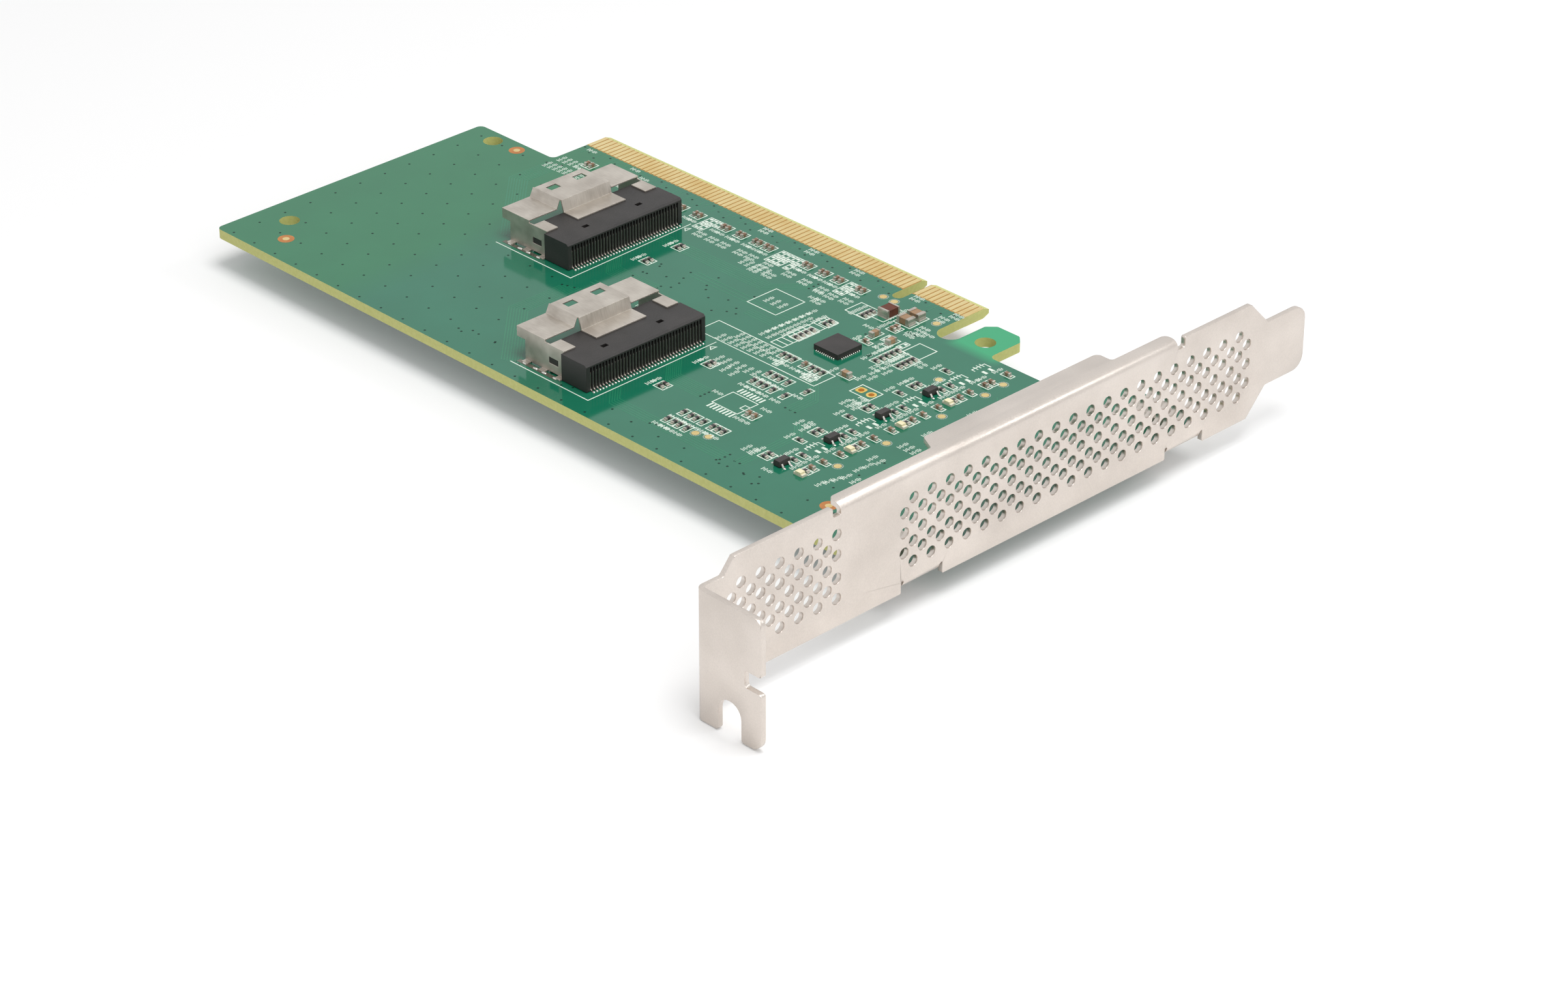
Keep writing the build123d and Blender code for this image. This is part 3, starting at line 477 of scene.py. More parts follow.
# socket contacts: one bent strip each, its outline in (x, z) from the housing's front
contactLook = {"wide": 0.2, "pitch": 0.6, "count": 37,
               "outline": [(-0.5, 0.12), (-0.14, 0.12), (-0.02, 0.01), (0.58, 0.01), (0.6, 0.05), (0.58, 0.13),
                           (0.08, 0.15), (-0.15, 0.35), (-0.19, 0.5), (-0.19, 2.9), (-0.4, 3.1), (-0.5, 3.1)]}
contactLanes = (np.arange(contactLook["count"]) - (contactLook["count"] - 1) / 2) * contactLook["pitch"]


# Faces of n closed bodies, each made of two rings of k points: a side between i and i + 1 of both rings, a lid on the
# second ring and a floor on the first. They point outwards where the first ring runs anticlockwise, seen from the
# second.
def ringFaces(n, k):
    i, j = np.arange(k), (np.arange(k) + 1) % k
    start = 2 * k * np.arange(n)
    faces = (start[:, None, None] + np.stack((i, j, j + k, i + k), 1)).reshape(-1, 4).tolist()
    return faces + (start[:, None] + i + k).tolist() + (start[:, None] + i[::-1]).tolist()


def contactRow(name, x, y, nodeName):  # the outline at half a width to both sides of each lane
    outline, half = np.array(contactLook["outline"]), contactLook["wide"] / 2
    across = (y + contactLanes)[:, None]
    rings = [np.stack(np.broadcast_arrays(x + outline[:, 0], across + side * half, outline[:, 1]), 2)
             for side in (-1, 1)]
    faces = [face[::-1] for face in ringFaces(len(contactLanes), len(outline))]
    meshPiece(name, np.concatenate(rings, 1).reshape(-1, 3) * mm, faces, made["contactTinShaded"], (nodeName,))


for key, (x, y) in sockets.items():
    contactRow("socketContacts" + key, x, y, f"port_{key.lower()}_contacts")
print("contacts:", 2 * len(contactLanes))


# Flat and small things on the board are closed low prisms: rings (n, k, 2), anticlockwise, raised from low to high.
def prisms(profile, low, high):
    n, k = profile.shape[:2]
    levels = [np.broadcast_to(np.reshape(level, (-1, 1, 1)), (n, k, 1)) for level in (low, high)]
    points = np.concatenate([np.concatenate((profile, level), 2) for level in levels], 1)
    return points.reshape(-1, 3), ringFaces(n, k)


# Prisms whose heights step through eleven close levels, so that crossing ones share no plane: number i is thick * (1 +
# rise * (7 i modulo 11)), so neighbours in the list are seven levels apart.
def layered(rings, thick):
    levels, stride, rise = 11, 7, 0.06
    return prisms(rings, 0, thick * (1 + rise * (np.arange(len(rings)) * stride % levels)))


def boxRings(lows, highs):  # rectangles from their low and high corners, anticlockwise
    x0, y0, x1, y1 = lows[:, 0], lows[:, 1], highs[:, 0], highs[:, 1]
    return np.stack((np.stack((x0, x1, x1, x0), 1), np.stack((y0, y0, y1, y1), 1)), 2)


def strokeRings(starts, ends, width):  # a bar along each line, half a width longer at both ends
    along = ends - starts
    along = along / np.linalg.norm(along, axis=1, keepdims=True) * width / 2
    across = np.stack((-along[:, 1], along[:, 0]), 1)
    return np.stack((starts - along - across, ends + along - across, ends + along + across, starts - along + across), 1)


def discRings(centres, radius, sides):  # centre + r (cos t, sin t)
    t = np.arange(sides) * 2 * np.pi / sides
    return centres[:, None, :] + radius * np.stack((np.cos(t), np.sin(t)), 1)


def joined(parts):  # several (points, faces) as one
    points, faces, first = [], [], 0
    for p, f in parts:
        points.append(p)
        faces += [[v + first for v in face] for face in f]
        first += len(p)
    return np.concatenate(points), faces


def pathSegments(paths):  # starts and ends of the straight parts of the paths
    return [np.concatenate([np.array(part, float) for part in parts])
            for parts in ([p[:-1] for p in paths], [p[1:] for p in paths])]


def flatPiece(name, parts, material):  # several prisms as one piece
    points, faces = joined(parts)
    return meshPiece(name, points * mm, faces, made[material])


# Low and high corner of each box solid of a CAD node, in mm: the least and the greatest of its 24 points, as each of
# its six sides has four points of its own.
def solidBoxes(nodeName):
    mesh, boxPoints = nodes[nodeName].data, 24
    if len(mesh.vertices) % boxPoints:  # one body with bevelled edges
        return tuple(np.array([corner]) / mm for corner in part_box(nodeName))
    co = np.zeros(len(mesh.vertices) * 3, np.float32)
    mesh.vertices.foreach_get("co", co)
    solids = co.reshape(-1, boxPoints, 3) / mm
    return solids.min(1).astype(float), solids.max(1).astype(float)


# Two-terminal chips: ceramic body, plated ends and solder fillets on pads. Shares are of the chip's own length, width
# or height, the rest is in mm; the fillet's curve has places out from the end and shares of its height.
chipLook = {"endShare": 0.24, "bodyUp": (0.03, 0.93), "bodyWide": 0.47, "endUp": 0.88, "endBevel": 0.06,
            "filletUp": 0.5, "filletOut": 0.14, "filletWide": 0.44, "filletCurve": ((0.07, 0.3), (0.03, 0.7)),
            "lap": 0.02, "padThick": 0.02, "padOut": 0.17, "padIn": 0.05}


# Profiles in (along, up) of each chip are carried across it: local (a, w, h) goes to centre + a A + w B + h Z, where A
# is the chip's longer side and B is A turned a quarter left.
def chipPiece(name, nodeName, bodyMaterial, endShare=chipLook["endShare"]):
    look = chipLook
    low, high = solidBoxes(nodeName)
    size, middle = high - low, (high + low) / 2
    alongX = size[:, 0] > size[:, 1]
    length = np.where(alongX, size[:, 0], size[:, 1])
    width = np.where(alongX, size[:, 1], size[:, 0])
    height, n = size[:, 2], len(size)
    board, padTop = np.zeros(n), np.full(n, look["padThick"])
    inner, outer = length * (0.5 - endShare), length / 2
    under, roof = [share * height for share in look["bodyUp"]]
    shapes = [([(-inner, under), (inner, under), (inner, roof), (-inner, roof)], look["bodyWide"] * width, 0)]
    for s in (-1, 1):
        end = [(s * inner, padTop), (s * outer, padTop), (s * outer, look["endUp"] * height),
               (s * (outer - look["endBevel"]), height), (s * inner, height)]
        top, back = look["filletUp"] * height, s * (outer - look["lap"])
        fillet = [(back, padTop), (s * (outer + look["filletOut"]), padTop),
                  *[(s * (outer + out), share * top) for out, share in look["filletCurve"]], (back, top)]
        padBack, padFront = s * (inner - look["padIn"]), s * (outer + look["padOut"])
        pad = [(padBack, board), (padFront, board), (padFront, padTop), (padBack, padTop)]
        shapes += [(end, width / 2, 1), (fillet, look["filletWide"] * width, 1), (pad, width / 2, 1)]
    parts, marks = [], []
    for profile, half, kind in shapes:
        a, h = [np.stack(values, 1) for values in zip(*profile)]
        k = a.shape[1]
        leftTurning = (a * np.roll(h, -1, 1) - np.roll(a, -1, 1) * h).sum(1).mean() > 0
        w = np.repeat(half[:, None], k, 1)
        rings = [np.stack((np.where(alongX[:, None], a, -side * w) + middle[:, :1],
                           np.where(alongX[:, None], side * w, a) + middle[:, 1:2], h), 2) for side in (1, -1)]
        faces = ringFaces(n, k) if leftTurning else [face[::-1] for face in ringFaces(n, k)]
        parts.append((np.concatenate(rings, 1).reshape(-1, 3), faces))
        marks += [kind] * len(faces)
    points, faces = joined(parts)
    return meshPiece(name, points * mm, faces, [made[bodyMaterial], made["platedEnd"]], (nodeName,), marks)


chipPiece("laneCapacitors", "lane_capacitors", "chipCeramic")
chipPiece("bypassCapacitors", "bypass_capacitors", "chipCeramic")
chipPiece("bulkCapacitors", "bulk_capacitors", "paleCeramic")
chipPiece("chipResistors", "chip_resistors", "resistorGlaze")
chipPiece("powerInductor", "power_inductor", "brownFerrite", endShare=0.14)
print("chips done")


# Printing: white ink outlines round the parts, and rows of plain bars where the card has labels. Real lines of 0.1 mm
# are too fine to show, so bars and lines are drawn a little coarser.
inkLook = {"thick": 0.016, "line": 0.17, "cellMargin": (0.5, 0.22), "bar": (0.13, 0.8), "barStep": 0.3,
           "barShares": (0.5, 0.32, 0.5, 0.18, 0.44, 0.5, 0.3),
           "labelOff": {"lane_capacitors": 1.9, "bypass_capacitors": 2.0,
                        "chip_resistors": 2.0, "bulk_capacitors": 2.6}}


def outlineStrokes(x0, y0, x1, y1):  # the four sides of rectangles, as starts and ends
    corner = np.stack((np.stack((x0, y0), 1), np.stack((x1, y0), 1), np.stack((x1, y1), 1), np.stack((x0, y1), 1)), 1)
    return corner.reshape(-1, 2), np.roll(corner, -1, 1).reshape(-1, 2)


def cellInk():  # an outline round each chip, at a margin along and across it, and its label's place beside it
    starts, ends, labels = [], [], []
    along, across = inkLook["cellMargin"]
    for nodeName, off in inkLook["labelOff"].items():
        low, high = solidBoxes(nodeName)
        size, middle = high - low, (high + low) / 2
        alongX = size[:, 0] > size[:, 1]
        mx, my = np.where(alongX, along, across), np.where(alongX, across, along)
        s, e = outlineStrokes(low[:, 0] - mx, low[:, 1] - my, high[:, 0] + mx, high[:, 1] + my)
        starts.append(s)
        ends.append(e)
        beside = np.where(alongX[:, None], (-1, 0), (0, -1)) * off
        labels.append(np.concatenate((middle[:, :2] + beside, 1 - alongX[:, None]), 1))
    return np.concatenate(starts), np.concatenate(ends), np.concatenate(labels)


# Each label is a short row of bars of unlike lengths: it stands for printing and spells nothing. Bar i is (i - 3) steps
# off the label's place, along x where the place's third number is 1 and along y where it is 0, and lies across the row.
def labelRings(places):
    wide, tall = inkLook["bar"]
    share = np.array(inkLook["barShares"])
    step = (np.arange(len(share)) - (len(share) - 1) / 2) * inkLook["barStep"]
    rings = []
    for alongX, order in ((0, (1, 0)), (1, (0, 1))):
        middle = places[places[:, 2] == alongX][:, None, :2] + np.stack((step, 0 * step), 1)[:, order]
        half = np.stack((0 * step + wide / 2, share * tall), 1)[:, order]
        rings.append(boxRings((middle - half).reshape(-1, 2), (middle + half).reshape(-1, 2)))
    return np.concatenate(rings)


lightRows = (-15.1, -19.9, -29.5, -38.9, -49.1)  # y of the lights' places beside the bracket, in mm
inkPaths = [  # frames, brackets and marks as runs of lines, read from the card
    [(-24.56, -62.83), (-7.77, -62.83), (-8.07, -37.24)], [(-55.54, -38.66), (-38.52, -38.64), (-39.35, -12.99)],
    [(-12.8, -32.1), (11.7, -32.1), (11.7, -36.5), (-12.8, -36.5), (-12.8, -32.1)],
    [(-14.3, -18.8), (-8.2, -18.8), (-8.2, -24.9), (-14.3, -24.9), (-14.3, -18.8)],
    [(-2.2, -12.8), (2.0, -12.8), (2.0, -16.3), (-2.2, -16.3), (-2.2, -12.8)],
    [(2.0, -10.4), (4.5, -10.4), (4.5, -15.0), (2.0, -15.0), (2.0, -10.4)],
    [(13.1, -16.0), (16.6, -16.0), (16.6, -19.7), (13.1, -19.7), (13.1, -16.0)],
    [(16.3, -31.1), (20.4, -31.1), (20.4, -33.8), (16.3, -33.8), (16.3, -31.1)],
    [(4.9, -46.1), (10.1, -46.1), (10.1, -50.3), (4.9, -50.3), (4.9, -46.1)],
    [(9.1, -47.7), (10.1, -47.7), (10.1, -48.8), (9.1, -48.8), (9.1, -47.7)],
    [(-2.5, -19.9), (0.0, -19.9), (0.0, -31.4), (-2.5, -31.4), (-2.5, -19.9)],
    *[[(-2.5, y), (0.0, y)] for y in np.arange(-30.3, -20, 1.1)],
    [(-38.9, -14.6), (-38.2, -15.2), (-38.2, -14.0), (-38.9, -14.6)],
    [(-7.6, -38.8), (-6.9, -39.4), (-6.9, -38.2), (-7.6, -38.8)]]
for y in lightRows:
    inkPaths += [[(25.4, y + 1.25), (24.1, y + 1.25), (24.1, y - 1.4), (24.7, y - 1.4)]]
    inkPaths += [[(23.7, y + s), (24.6, y + s)] for s in (-0.65, 0, 0.65)]
pairLabels = np.array([  # middles of labels in two lines, which run along x
    (-35.8, -14.4), (-33.1, -14.4), (-30.5, -14.4), (-26.9, -14.3), (-24.5, -14.2), (-21.0, -14.5), (-16.4, -14.1),
    (-12.9, -14.2), (-9.3, -14.2), (-6.8, -14.7), (-4.1, -14.2), (-7.0, -17.2), (-21.2, -16.7), (-18.3, -16.5),
    (-29.5, -6.3), (-19.4, -6.3), (-9.6, -6.3), (2.8, -6.0), (11.0, -6.0), (10.4, -15.0), (10.4, -12.6), (10.1, -8.2),
    (-24.0, -37.0), (-54.0, -13.5), (-50.5, -13.5), (-63.5, -14.0), (-60.4, -13.8), (17.8, -20.8), (14.2, -26.0)])
labelRows = [  # first and last place of a row of labels, how many, and 1 where each label runs along x
    (-8.9, -35.4, -0.3, -34.6, 8, 0), (-7.2, -33.2, 0.2, -33.0, 7, 0), (-5.3, -30.0, -5.1, -20.3, 8, 0),
    (-3.8, -30.0, -3.8, -22.5, 6, 0), (-4.1, -40.3, 3.0, -39.7, 6, 0), (-2.9, -42.0, 0.8, -42.0, 3, 0),
    (4.1, -17.6, 4.1, -17.6, 1, 1), (19.4, -35.5, 19.6, -34.1, 2, 1), (15.8, -28.6, 16.4, -23.1, 3, 0),
    (14.6, -29.8, 14.9, -24.5, 3, 0), (9.2, -20.8, 12.0, -20.4, 3, 0), (10.1, -14.9, 12.3, -13.2, 3, 1),
    (-12.6, -22.0, -9.6, -22.0, 3, 0), (-8.1, -17.0, -9.1, -15.1, 2, 1), (32.8, -55.9, 33.5, -53.3, 3, 0),
    (33.6, -49.2, 33.8, -47.5, 2, 0), (33.9, -51.9, 35.6, -51.9, 2, 0), (32.7, -45.6, 34.2, -45.6, 2, 0),
    (33.1, -39.9, 35.6, -39.9, 3, 0), (33.1, -35.0, 35.0, -35.0, 2, 0), (33.4, -26.0, 35.0, -26.0, 2, 0),
    (18.2, -56.1, 19.4, -56.1, 2, 0), (19.2, -45.1, 18.0, -45.6, 2, 0), (24.9, -58.6, 24.9, -58.6, 1, 1),
    (3.5, -47.8, 3.5, -47.8, 1, 1), (12.2, -46.5, 12.2, -46.5, 1, 1), (18.2, -36.6, 20.6, -36.6, 3, 0),
    (-24.4, -15.9, -19.4, -15.9, 5, 0), (-70.9, -14.5, -66.6, -14.2, 5, 0), (-70.7, -11.6, -67.2, -11.3, 4, 0),
    (-69.5, -6.2, -69.5, -6.2, 1, 1), (-59.5, -6.0, -59.5, -6.0, 1, 1), (-56.1, -7.3, -56.1, -7.3, 1, 1)]
emptyRows = ((-10.1, (-38.2, -37.15, -36.1, -22.2, -21.15, -20.1, -19.05, -18.0, -7.5, -6.45)),
             (-12.3, (-38.2, -37.1, -22.2, -21.1, -20.0, -18.2, -7.4, -6.4)),
             (-18.3, (8.6, 11.9)), (-35.0, (3.0, 8.8, 10.0)))
emptyCells = np.array([(x, y) for y, xs in emptyRows for x in xs])  # cells without a chip
cellHalf = (0.5, 1.0)
starts, ends, labels = cellInk()
pathStarts, pathEnds = pathSegments(inkPaths)
cellStarts, cellEnds = outlineStrokes(*(emptyCells - cellHalf).T, *(emptyCells + cellHalf).T)
starts, ends = np.concatenate((starts, cellStarts, pathStarts)), np.concatenate((ends, cellEnds, pathEnds))
rows = [np.c_[np.linspace((x0, y0), (x1, y1), n), np.full(n, alongX)] for x0, y0, x1, y1, n, alongX in labelRows]
pairs = [np.c_[pairLabels + (0, s), np.ones(len(pairLabels))] for s in (0.5, -0.5)]
ink = [layered(strokeRings(starts, ends, inkLook["line"]), inkLook["thick"]),
       layered(labelRings(np.concatenate((labels, *rows, *pairs))), inkLook["thick"])]

# bare pads and lands: radii, line and heights in mm, each place read from the card
landLook = {"testR": 0.6, "rimR": 0.78, "rimLine": 0.12, "rimThick": 0.014, "fiducialR": 0.55, "goldThick": 0.022,
            "squareR": 0.76, "roundR": 0.8, "thick": 0.02, "bareR": 1.3, "bareThick": 0.01, "holeR": 0.46,
            "holeThick": 0.028, "smallSides": 18, "rimSides": 20, "largeSides": 28}
testPoints = np.array([(30.4, -16.5), (30.8, -20.7), (30.9, -29.8), (31.0, -41.1), (30.9, -50.7), (22.9, -22.1),
                       (10.05, -58.4), (12.15, -57.8), (-1.3, -9.1), (1.0, -9.1), (10.35, -9.65)])
header = np.array([(17.3, -32.4), (19.35, -32.4)])
fiducials = np.array([(-78.15, -14.64), (-78.83, -61.11), (37.96, -59.45)])
tailPads = np.arange(8) * 0.65 + 5.3  # x of the empty eight-lead place's pads
# middles, and half of each pad's size
padGroups = (([(x, y) for x in tailPads for y in (-45.05, -51.1)], (0.16, 0.65)),
             ([(26.0, y + s) for y in lightRows for s in (-0.65, 0.65)], (0.5, 0.25)),
             ([(x, y + s) for x, y in emptyCells for s in (-0.55, 0.55)], (0.27, 0.25)))
smallSides, largeSides = landLook["smallSides"], landLook["largeSides"]
rim = discRings(testPoints, landLook["rimR"], landLook["rimSides"])
rimStrokes = strokeRings(rim.reshape(-1, 2), np.roll(rim, -1, 1).reshape(-1, 2), landLook["rimLine"])
ink.append(prisms(rimStrokes, 0, landLook["rimThick"]))
flatPiece("whiteInk", ink, "silkInk")
goldDiscs = [discRings(testPoints, landLook["testR"], smallSides),
             discRings(fiducials, landLook["fiducialR"], smallSides)]
flatPiece("testLands", [prisms(rings, 0, landLook["goldThick"]) for rings in goldDiscs], "hardGold")
turn = np.linspace(0, 2 * np.pi, largeSides, endpoint=False)
squarish = np.stack((np.cos(turn), np.sin(turn)), 1)
squarish = np.sign(squarish) * np.abs(squarish) ** 0.5  # the roots of |cos t| and |sin t|: a square with round corners
pinPads = [header[:1, None] + landLook["squareR"] * squarish, discRings(header[1:], landLook["roundR"], largeSides)]
flatPiece("headerLands", [prisms(rings, 0, landLook["thick"]) for rings in pinPads], "flashGold")
bareRings = discRings(fiducials, landLook["bareR"], largeSides)
flatPiece("bareRings", [prisms(bareRings, 0, landLook["bareThick"])], "orangeBrownLaminate")
# painted shade: a flat deep orange disc on each header land stands for the hole and the shade in it
pinHoles = discRings(header, landLook["holeR"], smallSides)
flatPiece("headerHoles", [prisms(pinHoles, 0, landLook["holeThick"])], "platedHoleShade")
padLow, padHigh = [np.concatenate([np.array(middles) + side * np.array(half) for middles, half in padGroups])
                   for side in (-1, 1)]
padBoxes = prisms(boxRings(padLow, padHigh), 0, landLook["thick"])
# painted reflection: fresh tin mirrors the white room, so the pads are painted as white as the ink
flatPiece("tinnedLands", [padBoxes], "silkInk")
print("printing and lands done")


# copper under the mask: bundles of parallel runs, and vias; real runs of 0.1 mm are too fine to show and are drawn
# wider
traceLook = {"wide": 0.16, "thick": 0.006, "viaR": 0.2, "viaThick": 0.009, "viaSides": 10, "seed": 4,
             "gridStart": (-86.15, -65.48), "gridStep": (5.04, 5.03), "gridCount": (29, 11),  # the even grid of vias
             "stub": (-5.2, -5.9, 0.9), "strayA": ((-52, -63), (28, -60.5), 26), "strayB": ((-34, -34), (-12, -22), 22)}
bundles = [  # path of the first run, how many runs, and the shift from one to the next
    ([(-39.2, -18.2), (-16.0, -18.2), (-11.0, -13.2)], 6, (0, -0.5)),
    ([(-39.2, -27.5), (-36.0, -30.7), (-27.0, -30.7)], 8, (0, -0.42)),
    ([(-8.2, -44.0), (-4.4, -47.8), (2.5, -47.8)], 8, (0, -0.42)),
    ([(-8.2, -56.0), (-5.0, -59.2), (18.0, -59.2)], 5, (0, -0.5)), ([(-12.0, -26.2), (-3.0, -26.2)], 4, (0, -0.5)),
    ([(-26.5, -23.5), (-6.0, -23.5), (-3.5, -21.0)], 3, (0, -0.8)),
    ([(9.6, -35.5), (13.5, -39.4), (13.5, -44.0)], 5, (0.5, 0)), ([(5.0, -22.5), (5.0, -19.6)], 5, (0.4, 0)),
    ([(17.5, -46.0), (19.8, -48.3), (19.8, -60.0)], 4, (0.5, 0)),
    ([(-57.0, -36.5), (-71.5, -22.0), (-71.5, -14.2)], 8, (0.42, 0.17)),
    ([(-26.0, -63.4), (-37.8, -51.6), (-37.8, -41.0)], 8, (0.42, 0.17)),
    ([(32.5, -20.0), (36.0, -23.5), (36.0, -52.0)], 3, (0.6, 0)),
    ([(13.2, -24.5), (16.5, -27.8), (20.0, -27.8)], 3, (0, -0.5)), ([(-35.5, -36.5), (-12.0, -36.5)], 2, (0, -0.8))]
runs = [np.array(path) + i * np.array(shift) for path, count, shift in bundles for i in range(count)]
fingers = np.concatenate((1.5 + np.arange(11), -1.5 - np.arange(71)))  # middles of the edge contacts
stubTop, stubEnd, stubStep = traceLook["stub"]
# a short run from each contact, in three lengths
stubEnds = [stubEnd - stubStep * (i % 3) for i in range(len(fingers))]
runs += [np.array(((x, stubTop), (x, y))) for x, y in zip(fingers, stubEnds)]
traceRings = strokeRings(*pathSegments(runs), traceLook["wide"])
gridX, gridY = [start + step * np.arange(count) for start, step, count
                in zip(traceLook["gridStart"], traceLook["gridStep"], traceLook["gridCount"])]
grid = np.stack(np.meshgrid(gridX, gridY), -1).reshape(-1, 2)
# the grid shows where no part or print stands: low and high corners of those fields
bare = [((-90, -67), (-58, -14)), ((-58, -67), (-29, -40)), ((-29, -67), (50, -65)), ((34, -62), (50, -18))]
inBare = [((grid > low) & (grid < high)).all(1) for low, high in bare]
random = np.random.default_rng(traceLook["seed"])
strays = [random.uniform(low, high, (count, 2)) for low, high, count in (traceLook["strayA"], traceLook["strayB"])]
stubVias = [(x, y - 0.05) for x, y in zip(fingers[1::2], stubEnds[1::2])]
vias = np.concatenate((grid[np.any(inBare, 0)], stubVias, [run[-1] for run in runs[:60:2]], *strays))
flatPiece("coatedTraces", [layered(traceRings, traceLook["thick"])], "maskOverTrace")
viaRings = discRings(vias, traceLook["viaR"], traceLook["viaSides"])
flatPiece("viaHoles", [prisms(viaRings, 0, traceLook["viaThick"])], "viaShade")
print("runs:", len(runs), "vias:", len(vias))


# solder beads at the sockets' tails and feet, the controller's lands and the gate chips' leads: half sizes, then places
beadLook = {"tail": (0.34, 0.19, 0.2), "foot": (0.55, 0.3, 0.2), "land": (0.2, 0.11, 0.2), "lead": (0.28, 0.2, 0.14),
            "tailX": 0.42, "footX": (-13.2, -10.9, -9.0, -6.6), "footY": 11.95,  # from each socket's place
            "controller": (6.0, -25.95, 0), "lands": (10, 0.4, 2.62),  # how many a side, their pitch, how far out
            "gateX": 25.1, "gateY": (-26.15, -35.85, -46.1, -55.95),
            "leads": ((1.2, -0.65), (1.2, 0.65), (-1.2, -0.65), (-1.2, 0), (-1.2, 0.65))}
# housing wings seen in the cages' side windows, and the ground pads under the cages' sides, from each socket's place
sideLook = {"wing": ((-8.75, -6.45), 10.9, 0.3), "wingZ": (1.3, 2.9), "pad": ((-14.6, -6.2), 11.95, 0.4),
            "padThick": 0.03}


# Half ellipsoids: centre + (a cos u cos v, b cos u sin v, c sin u), u from 0 to 90 degrees, v once round.
def beads(centres, radii, around=10, up=4):
    v = np.arange(around) * 2 * np.pi / around
    u = np.linspace(0, quarter, up + 1)[:-1, None]
    shell = np.stack((np.cos(u) * np.cos(v), np.cos(u) * np.sin(v), np.sin(u) + 0 * v), 2).reshape(-1, 3)
    shell = np.concatenate((shell, [(0, 0, 1)]))
    points = centres[:, None, :] + radii[:, None, :] * shell
    i, j = np.arange(around), (np.arange(around) + 1) % around
    bands = np.concatenate([np.stack((i, j, j + around, i + around), 1) + k * around for k in range(up - 1)])
    start = len(shell) * np.arange(len(centres))
    faces = (start[:, None, None] + bands).reshape(-1, 4).tolist()
    cap = np.stack((i + (up - 1) * around, j + (up - 1) * around, np.full(around, up * around)), 1)
    faces += (start[:, None, None] + cap).reshape(-1, 3).tolist() + (start[:, None] + i[::-1]).tolist()
    return points.reshape(-1, 3), faces


def sideBoxes(span, y, half):  # low and high corners of a box on both sides of each socket
    (x0, x1), middles = span, [(x, y0 + side * y) for x, y0 in sockets.values() for side in (-1, 1)]
    return np.array([(x + x0, v - half) for x, v in middles]), np.array([(x + x1, v + half) for x, v in middles])


beadGroups = []  # middles on the board, and half sizes
for x, y in sockets.values():
    beadGroups.append(([(x + beadLook["tailX"], y + lane, 0) for lane in contactLanes], beadLook["tail"]))
    feet = [(x + footX, y + side * beadLook["footY"], 0) for footX in beadLook["footX"] for side in (-1, 1)]
    beadGroups.append((feet, beadLook["foot"]))
count, pitch, out = beadLook["lands"]
lands = np.stack((np.full(count, out), (np.arange(count) - (count - 1) / 2) * pitch, np.zeros(count)), 1)
for quarters in range(4):
    turn = np.array(Matrix.Rotation(quarter * quarters, 3, "Z"))
    beadGroups.append((lands @ turn.T + beadLook["controller"], abs(turn @ beadLook["land"])))
leads = [(beadLook["gateX"] + s, y + t, 0) for y in beadLook["gateY"] for s, t in beadLook["leads"]]
beadGroups.append((leads, beadLook["lead"]))
beadPoints, beadFaces = beads(np.concatenate([middles for middles, half in beadGroups]),
                              np.concatenate([np.tile(half, (len(middles), 1)) for middles, half in beadGroups]))
solderBeads = meshPiece("solderBeads", beadPoints * mm, beadFaces, made["tinSolder"])
solderBeads.data.shade_smooth()
wings = prisms(boxRings(*sideBoxes(*sideLook["wing"])), *sideLook["wingZ"])
flatPiece("socketWings", [wings], "blackPolymer")
# the ground pads take the solder painted dark for the cage's shade
groundPads = prisms(boxRings(*sideBoxes(*sideLook["pad"])), 0, sideLook["padThick"])
flatPiece("groundPads", [groundPads], "dullSolderShaded")
print("solder done")


# the camera: its place in metres, its turn, its lens and sensor in mm, and how near it sees, in metres
view = {"place": (0.420921, -0.441110, 0.308330), "turn": (1.9553756, 0.8267542, -0.4799928),
        "lens": 103.784, "sensor": 36.0, "near": 0.01}


# The turn is a rotation vector, its direction the axis and its length the angle, from the part to the picture's axes: x
# right, y down and z into the picture. Its transpose, with y and z turned over, is the camera's own turn.
def viewMatrix():
    turn = Vector(view["turn"])
    picture = Matrix.Rotation(turn.length, 3, turn.normalized())
    rotation = picture.transposed() @ Matrix(((1, 0, 0), (0, -1, 0), (0, 0, -1)))
    return Matrix.Translation(view["place"]) @ rotation.to_4x4()


camera = bpy.data.objects.new("camera", bpy.data.cameras.new("camera"))
camera.data.sensor_width, camera.data.lens, camera.data.clip_start = view["sensor"], view["lens"], view["near"]
camera.matrix_world = viewMatrix()
bpy.context.scene.collection.objects.link(camera)
bpy.context.scene.camera = camera

# soft round lamps: place in metres, width and power; the key, overhead, gives the shadow, and the others lift the dark
# sides
lights = {"key": ((0.2, -0.03, 0.86), 0.5, 4.5), "fill": ((0.5, -0.22, 0.5), 0.6, 1.1),
          "back": ((0.42, 0.62, 0.58), 0.2, 0.6)}
target = Vector((-0.01, -0.04, 0))  # the middle of the card, which the lamps point at
for name, (place, size, power) in lights.items():
    lamp = bpy.data.lights.new(name, "AREA")
    lamp.shape, lamp.size, lamp.energy = "DISK", size, power
    holder = bpy.data.objects.new(name, lamp)
    aim = (target - Vector(place)).to_track_quat("-Z", "Y")
    holder.matrix_world = Matrix.Translation(place) @ aim.to_matrix().to_4x4()
    bpy.context.scene.collection.objects.link(holder)


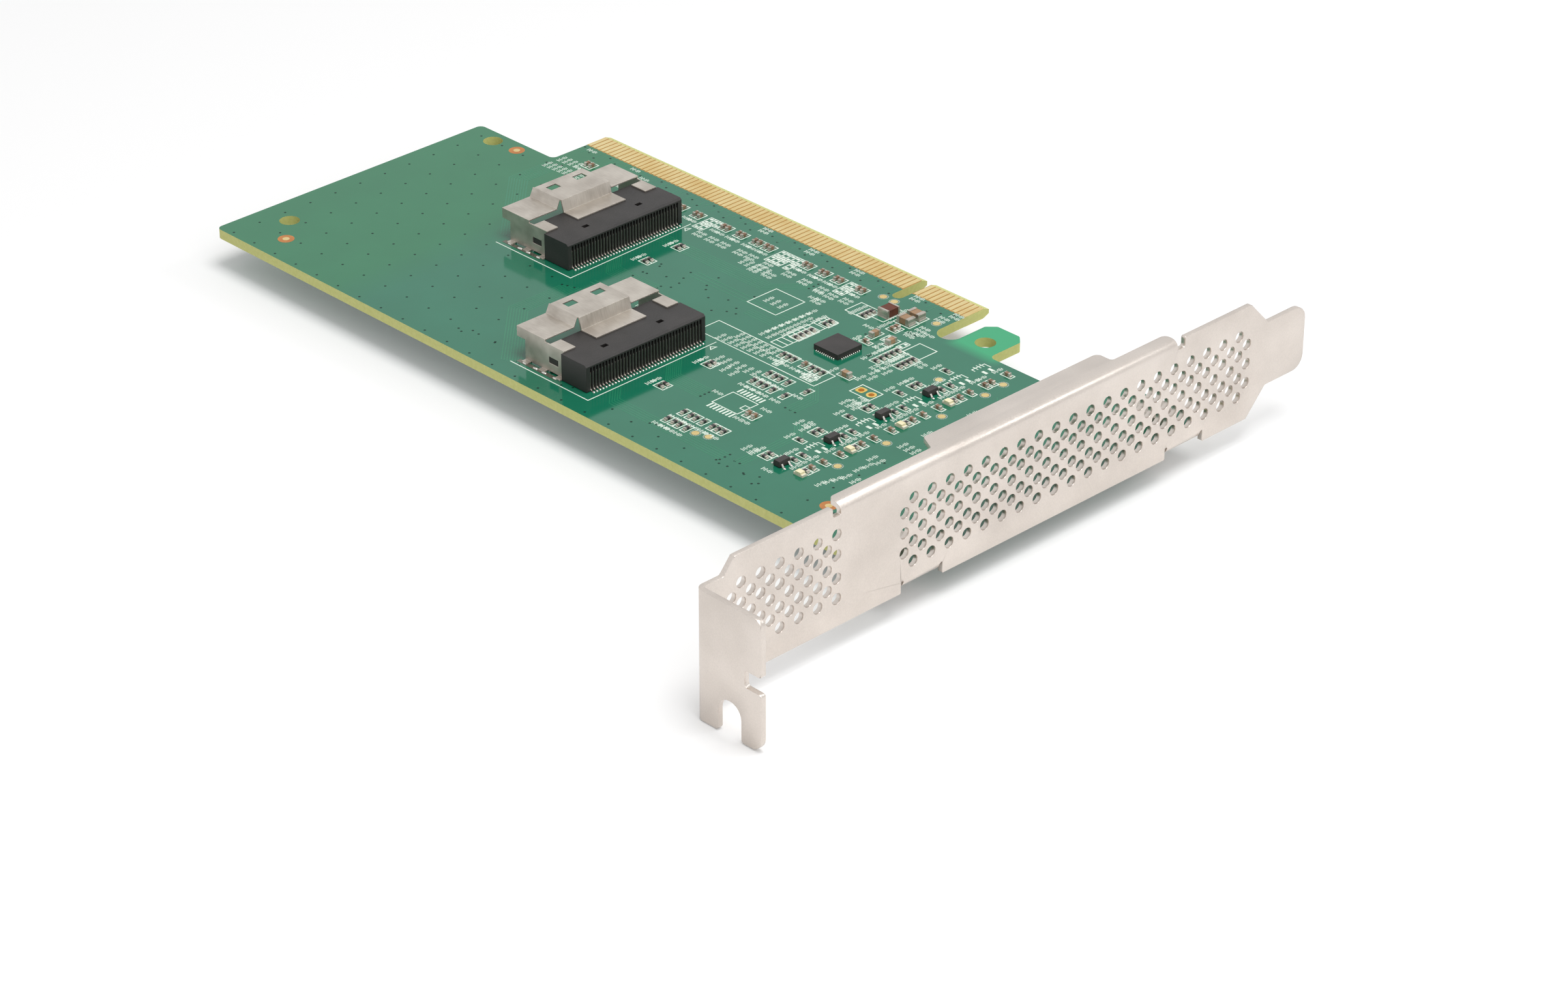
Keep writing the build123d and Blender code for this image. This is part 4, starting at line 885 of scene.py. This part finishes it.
# The camera and glass see the strength, mirrors see a share of it, and everything else is lit by the ordinary level.
def whiteToCamera(tree, ordinary, strength, mirrored=1.0):
    path = addNode(tree, "ShaderNodeLightPath").outputs
    seen = addNode(tree, "ShaderNodeMath", {"operation": "ADD", "use_clamp": True},
                   {0: path["Is Camera Ray"], 1: path["Is Transmission Ray"]})
    plain = addNode(tree, "ShaderNodeMapRange", inputs={0: seen.outputs[0], 3: ordinary, 4: strength}).outputs[0]
    return addNode(tree, "ShaderNodeMix",
                   inputs={0: path["Is Glossy Ray"], 2: plain, 3: mirrored * strength}).outputs[0]


skyLook = {"ordinary": 0.47, "seen": 1.0, "mirrored": 0.9}
world = bpy.data.worlds.new("studio")
world.use_nodes = True
bpy.context.scene.world = world
sky = world.node_tree.nodes["Background"]
sky.inputs["Color"].default_value = (1, 1, 1, 1)
skyLevel = whiteToCamera(world.node_tree, skyLook["ordinary"], skyLook["seen"], skyLook["mirrored"])
world.node_tree.links.new(skyLevel, sky.inputs["Strength"])

# pale paper floor: its height in mm, half its size in metres, and a glow for the camera that grows from near to far, so
# that the paper runs out into white while the shadow beside the part stays
floorLook = {"level": -6.75, "size": 3.0, "tone": 0.81, "rough": 0.9,
             "glow": 0.14, "farGlow": 0.5, "near": 0.3, "far": 1.2}
floorMesh = bpy.data.meshes.new("floor")
size, level = floorLook["size"], floorLook["level"] * mm
corners = [(-size, -size, level), (size, -size, level), (size, size, level), (-size, size, level)]
floorMesh.from_pydata(corners, [], [(0, 1, 2, 3)])
floor = bpy.data.objects.new("floor", floorMesh)
bpy.context.scene.collection.objects.link(floor)
paper, tree, shader = blankMaterial("palePaper")  # matt paper: even and soft, with no highlight
shader.inputs["Base Color"].default_value = (*[floorLook["tone"]] * 3, 1)
shader.inputs["Roughness"].default_value = floorLook["rough"]
shader.inputs["Emission Color"].default_value = (1, 1, 1, 1)
place = addNode(tree, "ShaderNodeNewGeometry").outputs["Position"]
away = addNode(tree, "ShaderNodeVectorMath", {"operation": "LENGTH"}, {0: place}).outputs["Value"]
glow = addNode(tree, "ShaderNodeMapRange", inputs={0: away, 1: floorLook["near"], 2: floorLook["far"],
                                                   3: floorLook["glow"], 4: floorLook["farGlow"]})
glow = addNode(tree, "ShaderNodeMath", {"operation": "MULTIPLY"},
               {0: glow.outputs[0], 1: whiteToCamera(tree, 0.0, 1.0)})
tree.links.new(glow.outputs[0], shader.inputs["Emission Strength"])
floorMesh.materials.append(paper)
print("studio done:", len(lights), "lamps")

bpy.context.scene.view_settings.view_transform = "Standard"
